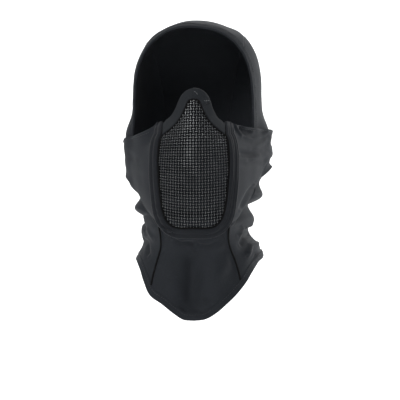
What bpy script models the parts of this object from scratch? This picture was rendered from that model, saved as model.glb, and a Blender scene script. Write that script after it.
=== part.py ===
"""A stretch balaclava with a wire mesh guard over the nose and mouth, in the shape it has when worn.

Metres, +Z up, with the face opening towards -Y. The origin is the inside of the cloth at the top of
the crown, so the hood hangs below it. Left and right are as seen from the front.
"""

import math

import bmesh
import bpy
from mathutils import Vector

# Cloth and seams
CLOTH = 0.0016
SEAM_GAP = 0.0005
HEM_CLOTH = 0.0026
HEM_WIDTH = 0.0080
HEM_PROUD = 0.0004
PIPING = 0.0014
PIPING_CLEARANCE = 0.0006

# Hood, down to the jaw
HOOD_WIDTH = 0.1434
HOOD_LENGTH = 0.1890
CROWN_HEIGHT = 0.0950
JAW_HEIGHT = 0.0966
SQUARENESS = 2.5
CROWN_SQUARENESS = 2.4
LEFT_CROWN_SHOULDER = 2.80
RIGHT_CROWN_SHOULDER = 3.25
LEFT_CROWN_ROUND = 1.90
RIGHT_CROWN_ROUND = 2.00
CROWN_STRIP = 0.1080
NAPE_STRIP = 0.0700

# Neck and the bibs below it
NECK_WIDTH = 0.1180
NECK_DEPTH = 0.1640
NECK_HEIGHT = 0.0750
BIB_DROP = 0.0645
BACK_DROP = 0.0400
BIB_WIDTH = 0.0780
FOLD_DEPTH = 0.0100
EAR_RISE = 0.0120
EAR_HEIGHT = 0.0370

# Face opening: the plane that its rim lies in
RIM_SETBACK = 0.0475
RIM_LEAN = -0.104
RIM_TWIST = -0.150
RIM_BOTTOM = 0.1410

# Mesh guard and what is sewn round it
GUARD_TOP = 0.0933
GUARD_HEIGHT = 0.1377
GUARD_WIDTH = 0.0754
NOSE_REACH = 0.1270
NOSE_RIDGE_RADIUS = 0.0030
GUARD_SAG = 0.0240
GUARD_TURN = -0.080
WIRE_PITCH = 0.0088
WIRE = 0.0012
WIRE_TUCK = 0.0040
WIRE_CLEARANCE = 0.0008
EDGE_SLOT = 0.0060
BINDING_WIDTH = 0.0120
BINDING_TOE = 0.0150
BINDING_THICKNESS = 0.0046
ROLL_WIDTH = 0.0094
ROLL_CHIN_WIDTH = 0.0118
ROLL_THICKNESS = 0.0066
ROLL_RISE = 0.0170
ROLL_SPLAY = 0.0016

# Cloth drawn out to the lower corners of the roll
DRAW_FALL = 0.45
DRAW_RISE = 0.0300
DRAW_STEP = 0.0060
DRAW_SPREAD = 0.40

# Cheek panels
CHEEK_BULGE = 0.0040
CHEEK_LIFT = CLOTH + HEM_PROUD + 2 * SEAM_GAP
CHEEK_FOOT_RISE = 0.0070
CHEEK_REACH = 116.0
CHEEK_BLEND = 0.0020
PLEAT_DEPTH = 0.0035

# Widths are shares of HOOD_WIDTH and depths of HOOD_LENGTH, down JAW_HEIGHT from the widest level.
# down, left, right, front, back
HOOD_SECTIONS = (
    (0.00, 0.492, 0.514, 0.487, 0.508),
    (0.30, 0.488, 0.510, 0.476, 0.508),
    (0.55, 0.474, 0.490, 0.455, 0.485),
    (0.80, 0.450, 0.460, 0.430, 0.447),
)

# Widths are shares of NECK_WIDTH and depths of NECK_DEPTH, down NECK_HEIGHT from the jaw.
# down, left, right, front, back
NECK_SECTIONS = (
    (0.00, 0.525, 0.520, 0.500, 0.476),
    (0.20, 0.505, 0.495, 0.525, 0.458),
    (0.36, 0.496, 0.487, 0.600, 0.450),
    (0.51, 0.492, 0.487, 0.700, 0.450),
    (0.66, 0.490, 0.500, 0.650, 0.455),
    (0.82, 0.505, 0.545, 0.590, 0.475),
    (1.00, 0.565, 0.615, 0.545, 0.505),
)

# The same shares of the neck's sizes, down BIB_DROP from the foot of the neck.
# down, left, right, front, back
CHEST_SECTIONS = (
    (0.31, 0.640, 0.670, 0.525, 0.530),
    (0.62, 0.730, 0.760, 0.535, 0.560),
    (1.05, 0.830, 0.860, 0.580, 0.600),
)

# Lines round the back of the neck that the ruffles hang from, down NECK_HEIGHT from the jaw, and the
# depth of the ruffle under each as a share of FOLD_DEPTH.
# left line, back line, right line, left depth, back depth, right depth
RUFFLES = (
    (-0.24, -0.27, -0.16, 0.35, 0.50, 1.35),
    (0.06, 0.08, 0.21, 0.90, 0.55, 0.80),
    (0.37, 0.41, 0.53, 0.30, 0.55, 0.60),
    (0.76, 0.83, 1.04, 0.00, 0.00, 0.00),
)

# Ears under the cloth: turn in degrees, half spread in degrees, drop from the crown in EAR_HEIGHTs.
# side, turn, spread, down, rise as a share of EAR_RISE
EARS = (
    (-1, 94.0, 19.0, 4.03, 0.80),
    (1, 94.0, 19.0, 4.03, 0.92),
)

# Hidden front edge of each side panel, from the rim's foot down to the corner of the bib.
# share of the way down, turn in degrees
HIDDEN_EDGE = (
    (0.22, 62.0),
    (0.42, 49.0),
    (0.62, 41.0),
    (0.80, 38.0),
    (0.92, 38.5),
)

# Bib seams: down from the bib's corner to the lowest hem, then each side's share of BIB_WIDTH.
# down, left, right
BIB_SEAMS = (
    (0.00, 0.506, 0.500),
    (0.13, 0.481, 0.487),
    (0.23, 0.476, 0.506),
    (0.38, 0.520, 0.570),
    (0.55, 0.577, 0.628),
    (0.76, 0.622, 0.656),
    (1.00, 0.640, 0.670),
)

# Bottom hem: turn in degrees from the front, then each side's share of BIB_DROP.
# turn, left, right
FRONT_HEM = (
    (0.0, 1.000, 1.000),
    (4.0, 0.985, 0.980),
    (10.0, 0.875, 0.880),
    (18.0, 0.735, 0.720),
    (29.0, 0.600, 0.530),
    (40.0, 0.390, 0.370),
    (52.0, 0.190, 0.200),
    (66.0, 0.060, 0.070),
    (90.0, -0.020, -0.020),
)

# Turn in degrees, then the share of BACK_DROP.
BACK_HEM = (
    (90.0, -0.035),
    (108.0, 0.060),
    (126.0, 0.330),
    (145.0, 0.680),
    (163.0, 0.930),
    (180.0, 1.000),
)

# Outline of the mesh that shows: down GUARD_HEIGHT, half width as a share of half GUARD_WIDTH.
GUARD_OUTLINE = (
    (0.000, 0.000),
    (0.004, 0.090),
    (0.018, 0.155),
    (0.047, 0.212),
    (0.085, 0.266),
    (0.124, 0.337),
    (0.162, 0.420),
    (0.200, 0.532),
    (0.238, 0.690),
    (0.276, 0.860),
    (0.304, 0.935),
    (0.354, 0.975),
    (0.468, 1.000),
    (0.583, 0.990),
    (0.698, 0.960),
    (0.775, 0.930),
    (0.852, 0.885),
    (0.922, 0.805),
    (0.966, 0.690),
    (0.991, 0.540),
    (1.000, 0.330),
    (1.000, 0.000),
)

# Depth of the guard: down GUARD_HEIGHT, ridge as a share of NOSE_REACH, how far the sides fall back
# as a share of GUARD_SAG, and how the fall grows from the ridge, where 1 is a straight flank.
GUARD_DEPTHS = (
    (-0.10, 0.735, 1.15, 1.20),
    (0.00, 0.772, 1.17, 1.20),
    (0.085, 0.835, 1.25, 1.20),
    (0.165, 0.890, 1.40, 1.25),
    (0.240, 0.941, 1.25, 1.30),
    (0.305, 0.980, 1.12, 1.40),
    (0.375, 1.000, 1.00, 1.50),
    (0.485, 0.984, 0.81, 1.80),
    (0.595, 0.965, 0.71, 2.00),
    (0.705, 0.953, 0.67, 2.10),
    (0.815, 0.937, 0.65, 2.10),
    (0.920, 0.906, 0.58, 2.10),
    (1.000, 0.870, 0.56, 2.10),
    (1.100, 0.820, 0.56, 2.10),
)

# Each cheek: side, drop from the crown to where its top and its foot reach the ear, top edge's sag.
CHEEKS = (
    ("left_cheek_panel", -1, 0.1345, 0.1810, 0.0055),
    ("right_cheek_panel", 1, 0.1255, 0.1675, 0.0035),
)

# Short tucks in the cheeks at the ear: side, share of the way down, share of PLEAT_DEPTH, half height.
PLEATS = (
    (-1, 0.30, 0.35, 0.16),
    (1, 0.24, 0.70, 0.12),
    (1, 0.78, 1.00, 0.09),
)

WIDEST_LEVEL = CLOTH - CROWN_HEIGHT
JAW_LEVEL = WIDEST_LEVEL - JAW_HEIGHT
NECK_FOOT = JAW_LEVEL - NECK_HEIGHT
BIB_TIP = NECK_FOOT - BIB_DROP
HOOD_CENTRE = Vector((0.0, 0.0, WIDEST_LEVEL))
BIB_CORNER = -(GUARD_TOP + GUARD_HEIGHT * 0.990)
CHIN_CORNER = -(GUARD_TOP + GUARD_HEIGHT * 0.935)
HEM_GAP = HEM_WIDTH + 2 * SEAM_GAP
ROLL_GAP = 2 * SEAM_GAP
UNDER_RIM = -RIM_BOTTOM - 3 * SEAM_GAP


def spline(rows, x, column):
    """Value of a column at x, on a smooth curve through the rows, whose first column rises."""
    if x <= rows[0][0]:
        return rows[0][column]
    if x >= rows[-1][0]:
        return rows[-1][column]
    i = max(k for k in range(len(rows) - 1) if rows[k][0] <= x)
    x0, x1 = rows[i][0], rows[i + 1][0]
    y0, y1 = rows[i][column], rows[i + 1][column]
    chord = (y1 - y0) / (x1 - x0)

    def slope(k):
        if k == 0 or k == len(rows) - 1:
            return chord
        return (rows[k + 1][column] - rows[k - 1][column]) / (rows[k + 1][0] - rows[k - 1][0])

    t, span = (x - x0) / (x1 - x0), x1 - x0
    rise = (2 * t**3 - 3 * t**2 + 1) * y0 + (3 * t**2 - 2 * t**3) * y1
    return rise + (t**3 - 2 * t**2 + t) * span * slope(i) + (t**3 - t**2) * span * slope(i + 1)


def smooth(x):
    """0 below 0, 1 above 1, and a smooth step between."""
    x = min(1.0, max(0.0, x))
    return x * x * (3 - 2 * x)


def root(function, low, high):
    """Where a function changes sign between low and high."""
    at_low = function(low)
    for _ in range(36):
        middle = (low + high) / 2
        if (function(middle) > 0) == (at_low > 0):
            low = middle
        else:
            high = middle
    return (low + high) / 2


def form_rows():
    """The section tables as one list: drop below the widest level, left, right, front, back."""
    rows = []
    for down, left, right, front, back in HOOD_SECTIONS:
        wide, deep = HOOD_WIDTH, HOOD_LENGTH
        rows.append((down * JAW_HEIGHT, left * wide, right * wide, front * deep, back * deep))
    for down, left, right, front, back in NECK_SECTIONS:
        wide, deep = NECK_WIDTH, NECK_DEPTH
        drop = JAW_HEIGHT + down * NECK_HEIGHT
        rows.append((drop, left * wide, right * wide, front * deep, back * deep))
    for down, left, right, front, back in CHEST_SECTIONS:
        wide, deep = NECK_WIDTH, NECK_DEPTH
        drop = JAW_HEIGHT + NECK_HEIGHT + down * BIB_DROP
        rows.append((drop, left * wide, right * wide, front * deep, back * deep))
    return rows


FORM = form_rows()


def section(z, side, back):
    """Half width and half depth of the form at height z, on one side, at the front or the back."""
    drop = max(0.0, WIDEST_LEVEL - z)
    wide = spline(FORM, drop, 1 if side < 0 else 2)
    deep = spline(FORM, drop, 4 if back else 3)
    rise = min(1.0, max(0.0, z - WIDEST_LEVEL) / CROWN_HEIGHT)
    shoulder = LEFT_CROWN_SHOULDER if side < 0 else RIGHT_CROWN_SHOULDER
    rounding = LEFT_CROWN_ROUND if side < 0 else RIGHT_CROWN_ROUND
    wide *= (1 - rise**shoulder) ** (1 / rounding)
    deep *= (1 - rise**CROWN_SQUARENESS) ** (1 / CROWN_SQUARENESS)
    return wide, deep


def form_point(turn, z):
    """Point of the smooth form. Turn is in degrees, 0 at the front, positive to the right."""
    side = -1 if turn < 0 else 1
    angle = math.radians(abs(turn))
    wide, deep = section(z, side, abs(turn) > 90)
    power = 2 / SQUARENESS
    x = side * wide * abs(math.sin(angle)) ** power
    y = deep * abs(math.cos(angle)) ** power
    return Vector((x, y if abs(turn) > 90 else -y, z))


def turn_of(x, y, z):
    """The turn, in degrees, of a point that lies on the form or off it."""
    side = -1 if x < 0 else 1
    wide, deep = section(z, side, y > 0)
    across = (abs(x) / max(wide, 1e-6)) ** (SQUARENESS / 2)
    along = (abs(y) / max(deep, 1e-6)) ** (SQUARENESS / 2)
    angle = math.degrees(math.atan2(across, along))
    return side * (180 - angle if y > 0 else angle)


def turn_at_x(x, z):
    """The turn, in degrees, where the front of the form has this x."""
    wide, _ = section(z, x, False)
    return math.copysign(math.degrees(math.asin(min(1.0, abs(x) / wide) ** (SQUARENESS / 2))), x)


def form_at(x, y, z):
    """Above 0 outside the smooth form, below 0 inside it."""
    wide, deep = section(z, x, y > 0)
    if wide < 1e-5:
        return 1.0
    return (abs(x) / wide) ** SQUARENESS + (abs(y) / deep) ** SQUARENESS - 1


def pinch(turn, line, column=0):
    """A row's value at a turn: the height share of the line, or with column 3 the ruffle's depth."""
    around = smooth((180 - abs(turn)) / 90)
    back, end = RUFFLES[line][column + 1], RUFFLES[line][column + (0 if turn < 0 else 2)]
    return back + (end - back) * around


def pinch_level(turn, line):
    return JAW_LEVEL - pinch(turn, line) * NECK_HEIGHT


def ruffle(turn, z):
    """How far the ruffles stand out at a place on the neck. Each hangs over the line below it."""
    fade = smooth((abs(turn) - 38) / 38)
    out = 0.0
    for line in range(len(RUFFLES) - 1):
        top, foot = pinch_level(turn, line), pinch_level(turn, line + 1)
        share = (top - z) / (top - foot)
        if 0 < share < 1:
            out += pinch(turn, line, 3) * math.sin(math.pi * share**1.7)
    return out * fade * FOLD_DEPTH


def ear_rise(turn, z):
    """How far an ear under the cloth pushes it out."""
    rise = 0.0
    for side, at, spread, down, share in EARS:
        if turn * side > 0:
            across = (abs(turn) - at) / spread
            along = (-z - down * EAR_HEIGHT) / EAR_HEIGHT
            rise += share * EAR_RISE * math.exp(-(across**4) - along**4)
    return rise


def dressed(point, lift=0.0):
    """A point of the smooth form moved out by ears and ruffles, and by lift for an outer layer."""
    turn = turn_of(*point)
    out = ear_rise(turn, point.z) + ruffle(turn, point.z) + lift
    flat = Vector((point.x, point.y, 0.0))
    above = max(0.0, point.z - WIDEST_LEVEL) / CROWN_HEIGHT
    way = flat.normalized() * (1 - above**2) + Vector((0, 0, above**2)) if flat.length > 1e-6 else Vector((0, 0, 1))
    return point + way.normalized() * out


def cloth(turn, z, lift=0.0):
    """Outer face of the cloth at a turn and a height."""
    return dressed(form_point(turn, z), lift)


def rim_y(x, z):
    """Where the plane of the face opening's rim lies."""
    return -RIM_SETBACK + RIM_LEAN * (z - WIDEST_LEVEL) + RIM_TWIST * x


def rim_turn(side, z, behind):
    """The turn where the form at height z meets a plane this far behind the rim's."""

    def ahead(turn):
        point = form_point(side * turn, z)
        return point.y - rim_y(point.x, z) - behind

    return root(ahead, 1.0, 170.0)


def strip_half(degrees):
    """Half width of the strip over the crown, by the angle round the ears: 90 on top, 180 behind."""
    return (CROWN_STRIP + (NAPE_STRIP - CROWN_STRIP) * smooth((degrees - 100) / 110)) / 2


def round_ears(point):
    """Angle of a point round the line through the ears: 0 in front, 90 on top, 180 behind."""
    degrees = math.degrees(math.atan2(point.z - WIDEST_LEVEL, -point.y))
    return degrees + 360 if degrees < -89.9 else degrees


def strip_turn(side, z, beyond):
    """The turn at the back where the form at height z meets the strip's edge, moved out by beyond."""

    def inside(turn):
        point = form_point(side * turn, z)
        return abs(point.x) - strip_half(round_ears(point)) - beyond

    return root(inside, 90.0, 179.5)


def hem_level(turn):
    """Height of the bottom edge at a turn."""
    if abs(turn) > 90:
        return NECK_FOOT - spline(BACK_HEM, abs(turn), 1) * BACK_DROP
    return NECK_FOOT - spline(FRONT_HEM, abs(turn), 1 if turn < 0 else 2) * BIB_DROP


def wrapped(turn):
    """The same turn between -180 and 180."""
    return (turn + 180) % 360 - 180


def hem_top(turn, width):
    """Height on the cloth that lies this far above the bottom edge, measured across the hem."""
    low, high = wrapped(turn - 1.0), wrapped(turn + 1.0)
    a, b = form_point(low, hem_level(turn)), form_point(high, hem_level(turn))
    slope = (hem_level(high) - hem_level(low)) / max((b - a).length, 1e-6)
    return hem_level(turn) + width * math.sqrt(1 + slope**2)


def bib_seam_turn(side, z, beyond):
    """The turn of a bib seam at height z, moved outwards by beyond."""
    down = (BIB_CORNER - z) / (BIB_CORNER - BIB_TIP)
    x = side * (spline(BIB_SEAMS, down, 1 if side < 0 else 2) * BIB_WIDTH + beyond)
    return abs(turn_at_x(x, z))


def side_front_turn(side, z):
    """The turn where a side panel begins: at the rim's hem, under the cheek, or at the bib's seam."""
    seam = PIPING / 2 + PIPING_CLEARANCE
    if z <= BIB_CORNER:
        return bib_seam_turn(side, z, seam)
    if z >= UNDER_RIM:
        return rim_turn(side, z, HEM_GAP)
    start = (0.0, rim_turn(side, UNDER_RIM, HEM_GAP))
    end = (1.0, bib_seam_turn(side, BIB_CORNER, seam))
    share = (UNDER_RIM - z) / (UNDER_RIM - BIB_CORNER)
    return spline((start, *HIDDEN_EDGE, end), share, 1)


def guard_y(x, z):
    """Depth of the mesh guard's middle surface."""
    down = (-z - GUARD_TOP) / GUARD_HEIGHT
    ridge = spline(GUARD_DEPTHS, down, 1) * NOSE_REACH
    sag = spline(GUARD_DEPTHS, down, 2) * GUARD_SAG
    power = spline(GUARD_DEPTHS, down, 3)
    rounded = math.hypot(x, NOSE_RIDGE_RADIUS) - NOSE_RIDGE_RADIUS
    return -ridge + sag * (2 * rounded / GUARD_WIDTH) ** power + GUARD_TURN * x


def guard_point(x, z, out=0.0):
    """Point on the guard's surface, or in front of it by out."""
    point = Vector((x, guard_y(x, z), z))
    return point + guard_normal(x, z) * out if out else point


def guard_normal(x, z):
    step = 0.0008
    across = guard_point(x + step, z) - guard_point(x - step, z)
    up = guard_point(x, z + step) - guard_point(x, z - step)
    return across.cross(up).normalized()


def even(points, count):
    """Points spread evenly along the line through the given ones."""
    lengths = [0.0]
    for a, b in zip(points, points[1:]):
        lengths.append(lengths[-1] + (b - a).length)
    spread = []
    for k in range(count):
        at = lengths[-1] * k / (count - 1)
        i = min(len(points) - 2, max(j for j in range(len(points)) if lengths[j] <= at + 1e-12))
        part = (at - lengths[i]) / max(lengths[i + 1] - lengths[i], 1e-12)
        spread.append(points[i].lerp(points[i + 1], min(1.0, part)))
    return spread


def outline_half(side):
    """Front view of half of the mesh's outline, from the top down, as x and z."""
    rows = [(k, down, half) for k, (down, half) in enumerate(GUARD_OUTLINE)]
    fine = []
    for k in range(8 * (len(rows) - 1) + 1):
        down, half = spline(rows, k / 8, 1), spline(rows, k / 8, 2)
        fine.append(Vector((side * half * GUARD_WIDTH / 2, 0.0, -GUARD_TOP - down * GUARD_HEIGHT)))
    return fine


def shoulder_level():
    """Height where the mesh's sloping top edges meet the rolls."""
    return -(GUARD_TOP + 0.285 * GUARD_HEIGHT)


def nose_path(count):
    """The mesh's sloping edges that the binding covers, from the left shoulder over the top."""
    left = [p for p in outline_half(-1) if p.z > shoulder_level()]
    right = [p for p in outline_half(1) if p.z > shoulder_level()]
    return even(left[::-1] + right[1:], count)


def roll_path(count):
    """The roll's inner edge, from the top of the left one round the chin to the top of the right."""
    path = []
    for side in (-1, 1):
        edge = [p for p in outline_half(side) if p.z <= shoulder_level()]
        top = edge[0] + Vector((-side * ROLL_SPLAY, 0.0, ROLL_RISE))
        path.append([top, top.lerp(edge[0], 0.5), *edge])
    return even(path[0] + path[1][-2::-1], count)


def outward(path, k):
    """Direction in the front view, across the path and away from the middle of the mesh."""
    along = path[min(k + 1, len(path) - 1)] - path[max(k - 1, 0)]
    across = Vector((along.z, 0.0, -along.x)).normalized()
    middle = Vector((0.0, 0.0, -GUARD_TOP - GUARD_HEIGHT * 0.6))
    return across if across.dot(path[k] - middle) > 0 else -across


def across_surface(point, way):
    """A front-view direction laid on the guard's surface, with a length of one in space."""
    step = 0.002
    start = guard_point(point.x, point.z)
    end = guard_point(point.x + way.x * step, point.z + way.z * step)
    return (end - start).normalized()


def new_collection(name, shown=True):
    collection = bpy.data.collections.new(name)
    bpy.context.scene.collection.children.link(collection)
    collection.hide_render = not shown
    return collection


def material(name, colour, roughness, metallic=0.0):
    made = bpy.data.materials.new(name)
    made.use_nodes = True
    shader = made.node_tree.nodes["Principled BSDF"]
    shader.inputs["Base Color"].default_value = (*colour, 1.0)
    shader.inputs["Roughness"].default_value = roughness
    shader.inputs["Metallic"].default_value = metallic
    return made


def add_object(name, mesh, collection, finish):
    made = bpy.data.objects.new(name, mesh)
    collection.objects.link(made)
    if finish:
        mesh.materials.append(finish)
    mesh.shade_smooth()
    mesh.set_sharp_from_angle(angle=math.radians(50))
    return made


def laid_grid(columns, rows, place):
    """A flat grid whose corners are laid where place(across, down) says, faces turned outwards."""
    bm = bmesh.new()
    bmesh.ops.create_grid(bm, x_segments=columns, y_segments=rows, size=0.5)
    for vert in bm.verts:
        vert.co = place(vert.co.x + 0.5, 0.5 - vert.co.y)
    bmesh.ops.remove_doubles(bm, verts=bm.verts, dist=1e-5)
    bm.normal_update()
    facing = sum(face.normal.dot(face.calc_center_median() - HOOD_CENTRE) for face in bm.faces)
    if facing < 0:
        bmesh.ops.reverse_faces(bm, faces=bm.faces)
    return bm


def panel(name, columns, rows, place, collection, finish, thickness=CLOTH):
    """A piece of cloth: a grid laid on its outer face, thickened inwards."""
    bm = laid_grid(columns, rows, place)
    mesh = bpy.data.meshes.new(name)
    bm.to_mesh(mesh)
    bm.free()
    made = add_object(name, mesh, collection, finish)
    wall = made.modifiers.new("Wall", "SOLIDIFY")
    wall.thickness = thickness
    wall.offset = -1
    return made


def swept(name, rings, collection, finish):
    """A closed bar through rings of points that all have the same count."""
    bm = bmesh.new()
    made = [[bm.verts.new(point) for point in ring] for ring in rings]
    for ring, following in zip(made, made[1:]):
        for j, vert in enumerate(ring):
            i = (j + 1) % len(ring)
            bm.faces.new((vert, ring[i], following[i], following[j]))
    bm.faces.new(made[0])
    bm.faces.new(made[-1])
    bmesh.ops.recalc_face_normals(bm, faces=bm.faces)
    mesh = bpy.data.meshes.new(name)
    bm.to_mesh(mesh)
    bm.free()
    return add_object(name, mesh, collection, finish)


def edge_channel(name, inner, reach, thickness, collection, finish):
    """A folded edge: a U-shaped section, with the mesh's edge in its slot, run along a path.

    inner is the path of its lip in the front view, and reach(k) the way across it and its width.
    """
    slot = (WIRE / 2 + WIRE_CLEARANCE) / thickness
    rings = []
    for k, point in enumerate(inner):
        way, wide = reach(k)
        depth = EDGE_SLOT / wide
        shape = (
            (0.0, slot), (0.0, 0.36), (0.10, 0.48), (0.35, 0.50), (0.70, 0.48), (0.93, 0.34), (1.0, 0.0),
            (0.93, -0.34), (0.70, -0.48), (0.35, -0.50), (0.10, -0.48), (0.0, -0.36), (0.0, -slot),
            (depth, -slot), (depth, slot),
        )
        start = guard_point(point.x, point.z)
        across = across_surface(point, way)
        out = guard_normal(point.x, point.z)
        out = (out - across * out.dot(across)).normalized()
        rings.append([start + across * a * wide + out * b * thickness for a, b in shape])
    return swept(name, rings, collection, finish)


def cord(name, points, diameter, collection, finish):
    """A cord of round section through the points."""
    curve = bpy.data.curves.new(name, "CURVE")
    curve.dimensions = "3D"
    curve.bevel_depth = diameter / 2
    curve.bevel_resolution = 1
    curve.use_fill_caps = True
    line = curve.splines.new("POLY")
    line.points.add(len(points) - 1)
    for place, point in zip(line.points, points):
        place.co = (*point, 1.0)
    curve.materials.append(finish)
    made = bpy.data.objects.new(name, curve)
    collection.objects.link(made)
    return made


def drawn(side, path):
    """The roll's lower corner, and how far the cloth under the seam there is drawn out to meet it."""
    split = chin_split(path)
    corner = roll_outer(path, split if side < 0 else len(path) - 1 - split, ROLL_GAP)
    return corner, corner - cloth(side * bib_seam_turn(side, corner.z, 0.0), corner.z)


def draw_share(corner, z):
    """How much of the drawing out is left at height z: it fades down to the hem and fast above."""
    if z > corner.z:
        return 0.55 * (1 - smooth((z - corner.z) / DRAW_RISE)) + 0.45 * (1 - smooth((z - corner.z) / DRAW_STEP))
    return 1 - smooth((corner.z - z) / ((corner.z - BIB_TIP) * DRAW_FALL))


def settled(level, turn_at, start):
    """Where a line of the cloth, whose height depends on the turn, meets one that depends on height."""
    z = start
    for _ in range(7):
        turn = turn_at(z)
        z = level(turn)
    return turn, z


# Rows of cloth faces between its fixed lines: the widest level, under the rim, each ruffle, the hem.
CLOTH_ROWS = (4, 3, 4, 4, 3, 3)


def level_line(turn, row):
    """Height of a row of the cloth below the widest level, so that rows follow the ruffles."""
    hem = hem_top(turn, HEM_GAP)
    third = pinch_level(turn, 2)
    last = max(pinch_level(turn, 3), hem + 0.35 * (third - hem))
    keys = [WIDEST_LEVEL, UNDER_RIM, pinch_level(turn, 0), pinch_level(turn, 1), third, last, hem]
    for key, following, count in zip(keys, keys[1:], CLOTH_ROWS):
        if row <= count:
            return key + (following - key) * row / count
        row -= count
    return hem


def crown_strip(parts, finish):
    """The strip from the forehead over the crown and down the back to the hem."""
    columns, upper, lower = 8, 13, sum(CLOTH_ROWS)

    def place(across, down):
        share = 2 * across - 1
        side = -1 if share < 0 else 1
        row = round(down * (upper + lower), 6)

        def ray_point(degrees):
            x = share * (strip_half(degrees) - SEAM_GAP / 2)
            angle = math.radians(degrees)

            def beyond(reach):
                return form_at(x, -reach * math.cos(angle), WIDEST_LEVEL + reach * math.sin(angle))

            reach = root(beyond, 0.01 * HOOD_LENGTH, 0.74 * HOOD_LENGTH)
            return Vector((x, -reach * math.cos(angle), WIDEST_LEVEL + reach * math.sin(angle)))

        def ahead(degrees):
            point = ray_point(degrees)
            return point.y - rim_y(point.x, point.z) - HEM_GAP

        if row <= upper:
            start = root(ahead, 20.0, 120.0)
            return dressed(ray_point(start + (180 - start) * row / upper))

        def turn_at(z):
            edge = abs(form_point(side * strip_turn(side, z, -SEAM_GAP / 2), z).x)
            wide, _ = section(z, side, True)
            turn = math.degrees(math.asin(min(1.0, abs(share) * edge / wide) ** (SQUARENESS / 2)))
            return side * (180 - turn)

        turn, z = settled(lambda at: level_line(at, row - upper), turn_at, WIDEST_LEVEL)
        return cloth(turn, z)

    return panel("crown_strip", columns, upper + lower, place, parts, finish)


def side_panel(name, side, path, parts, finish):
    """From the strip's seam over the ear and down the side of the neck to the hem."""
    columns, top, upper, lower = 11, 4, 9, sum(CLOTH_ROWS)
    seam_x = CROWN_STRIP / 2 + SEAM_GAP / 2

    def seam_turn(z):
        return abs(turn_at_x(side * seam_x, z))

    end, draw = drawn(side, path)
    peak = root(lambda z: section(z, side, False)[0] - seam_x - SEAM_GAP, WIDEST_LEVEL, CLOTH)
    corner = root(lambda z: rim_turn(side, z, HEM_GAP) - seam_turn(z), WIDEST_LEVEL, peak)

    def place(across, down):
        row = round(down * (upper + lower), 6)
        if row <= upper:
            z = corner + (peak - corner) * math.cos(math.pi / 2 * row / top)
            if row > top:
                z = corner + (WIDEST_LEVEL - corner) * (row - top) / (upper - top)
            front = seam_turn(z) if row < top else rim_turn(side, z, HEM_GAP)
            back = strip_turn(side, z, SEAM_GAP / 2) if row > 0 else 180 - front
            return cloth(side * (front + (max(back, front + 1) - front) * across), z)

        def turn_at(z):
            front, back = side_front_turn(side, z), strip_turn(side, z, SEAM_GAP / 2)
            return side * (front + (back - front) * across)

        turn, z = settled(lambda at: level_line(at, row - upper), turn_at, WIDEST_LEVEL)
        return cloth(turn, z) + draw * draw_share(end, z) * (1 - smooth(across / DRAW_SPREAD))

    return panel(name, columns, upper + lower, place, parts, finish)


def rim_hem(parts, finish):
    """The turned hem round the face opening, its ends tucked under the cheeks."""
    columns, rows = 40, 2

    def place(across, down):
        behind = down * HEM_WIDTH
        ends = []
        for side in (-1, 1):
            turn = side * rim_turn(side, -RIM_BOTTOM, behind)
            foot = form_point(turn, -RIM_BOTTOM)
            ends.append(math.atan2(foot.x, foot.z - WIDEST_LEVEL))
        angle = ends[0] + (ends[1] - ends[0]) * across

        def beyond(reach):
            x, z = reach * math.sin(angle), WIDEST_LEVEL + reach * math.cos(angle)
            return form_at(x, rim_y(x, z) + behind, z)

        reach = root(beyond, 0.01 * HOOD_LENGTH, 0.69 * HOOD_LENGTH)
        x, z = reach * math.sin(angle), WIDEST_LEVEL + reach * math.cos(angle)
        return dressed(Vector((x, rim_y(x, z) + behind, z)), HEM_PROUD)

    return panel("face_opening_hem", columns, rows, place, parts, finish, HEM_CLOTH)


def bottom_hem(parts, finish):
    """The turned hem round the bottom edge, from the nape round the chest and back."""

    def place(across, down):
        turn = 360 * across - 180
        top = hem_top(turn, HEM_WIDTH)
        return cloth(turn, top + (hem_level(turn) - top) * down, HEM_PROUD)

    return panel("bottom_hem", 64, 2, place, parts, finish, HEM_CLOTH)


def roll_reach(path, k):
    """The way across the roll, in the front view, and its width there."""
    way = outward(path, k)
    return way, ROLL_WIDTH + (ROLL_CHIN_WIDTH - ROLL_WIDTH) * smooth(-way.z)


def roll_outer(path, k, gap):
    """Point just outside the roll's outer edge, on the guard's surface."""
    way, wide = roll_reach(path, k)
    return guard_point(path[k].x, path[k].z) + across_surface(path[k], way) * (wide + gap)


def on_line(points, share):
    """Point at a share of the way along a list of points."""
    at = min(max(share, 0.0), 1.0) * (len(points) - 1)
    k = min(int(at), len(points) - 2)
    return points[k].lerp(points[k + 1], at - k)


def chin_split(path):
    """How many points of the roll's path lie beside each cheek; the rest carry the bib."""
    return sum(1 for p in path[: len(path) // 2] if p.z > CHIN_CORNER)


def bib(path, parts, finish):
    """The front panel, from under the guard down to the hem at the chest."""
    rows = 14
    split = chin_split(path)
    top = [roll_outer(path, k, ROLL_GAP) for k in range(split, len(path) - split)]
    seam = PIPING / 2 + PIPING_CLEARANCE
    top[0] += (top[1] - top[0]).normalized() * 1.4 * seam
    top[-1] += (top[-2] - top[-1]).normalized() * 1.4 * seam

    def place(across, down):
        start = on_line(top, across)
        share = 2 * across - 1
        side = -1 if share < 0 else 1

        def turn_at(z):
            return share * bib_seam_turn(side, z, -seam)

        _, foot = settled(lambda at: hem_top(at, HEM_GAP), turn_at, NECK_FOOT)
        z = start.z + (foot - start.z) * down
        shift = start - cloth(turn_at(start.z), start.z)
        return cloth(turn_at(z), z) + shift * draw_share(start, z)

    return panel("front_bib", len(top) - 1, rows, place, parts, finish)


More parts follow.
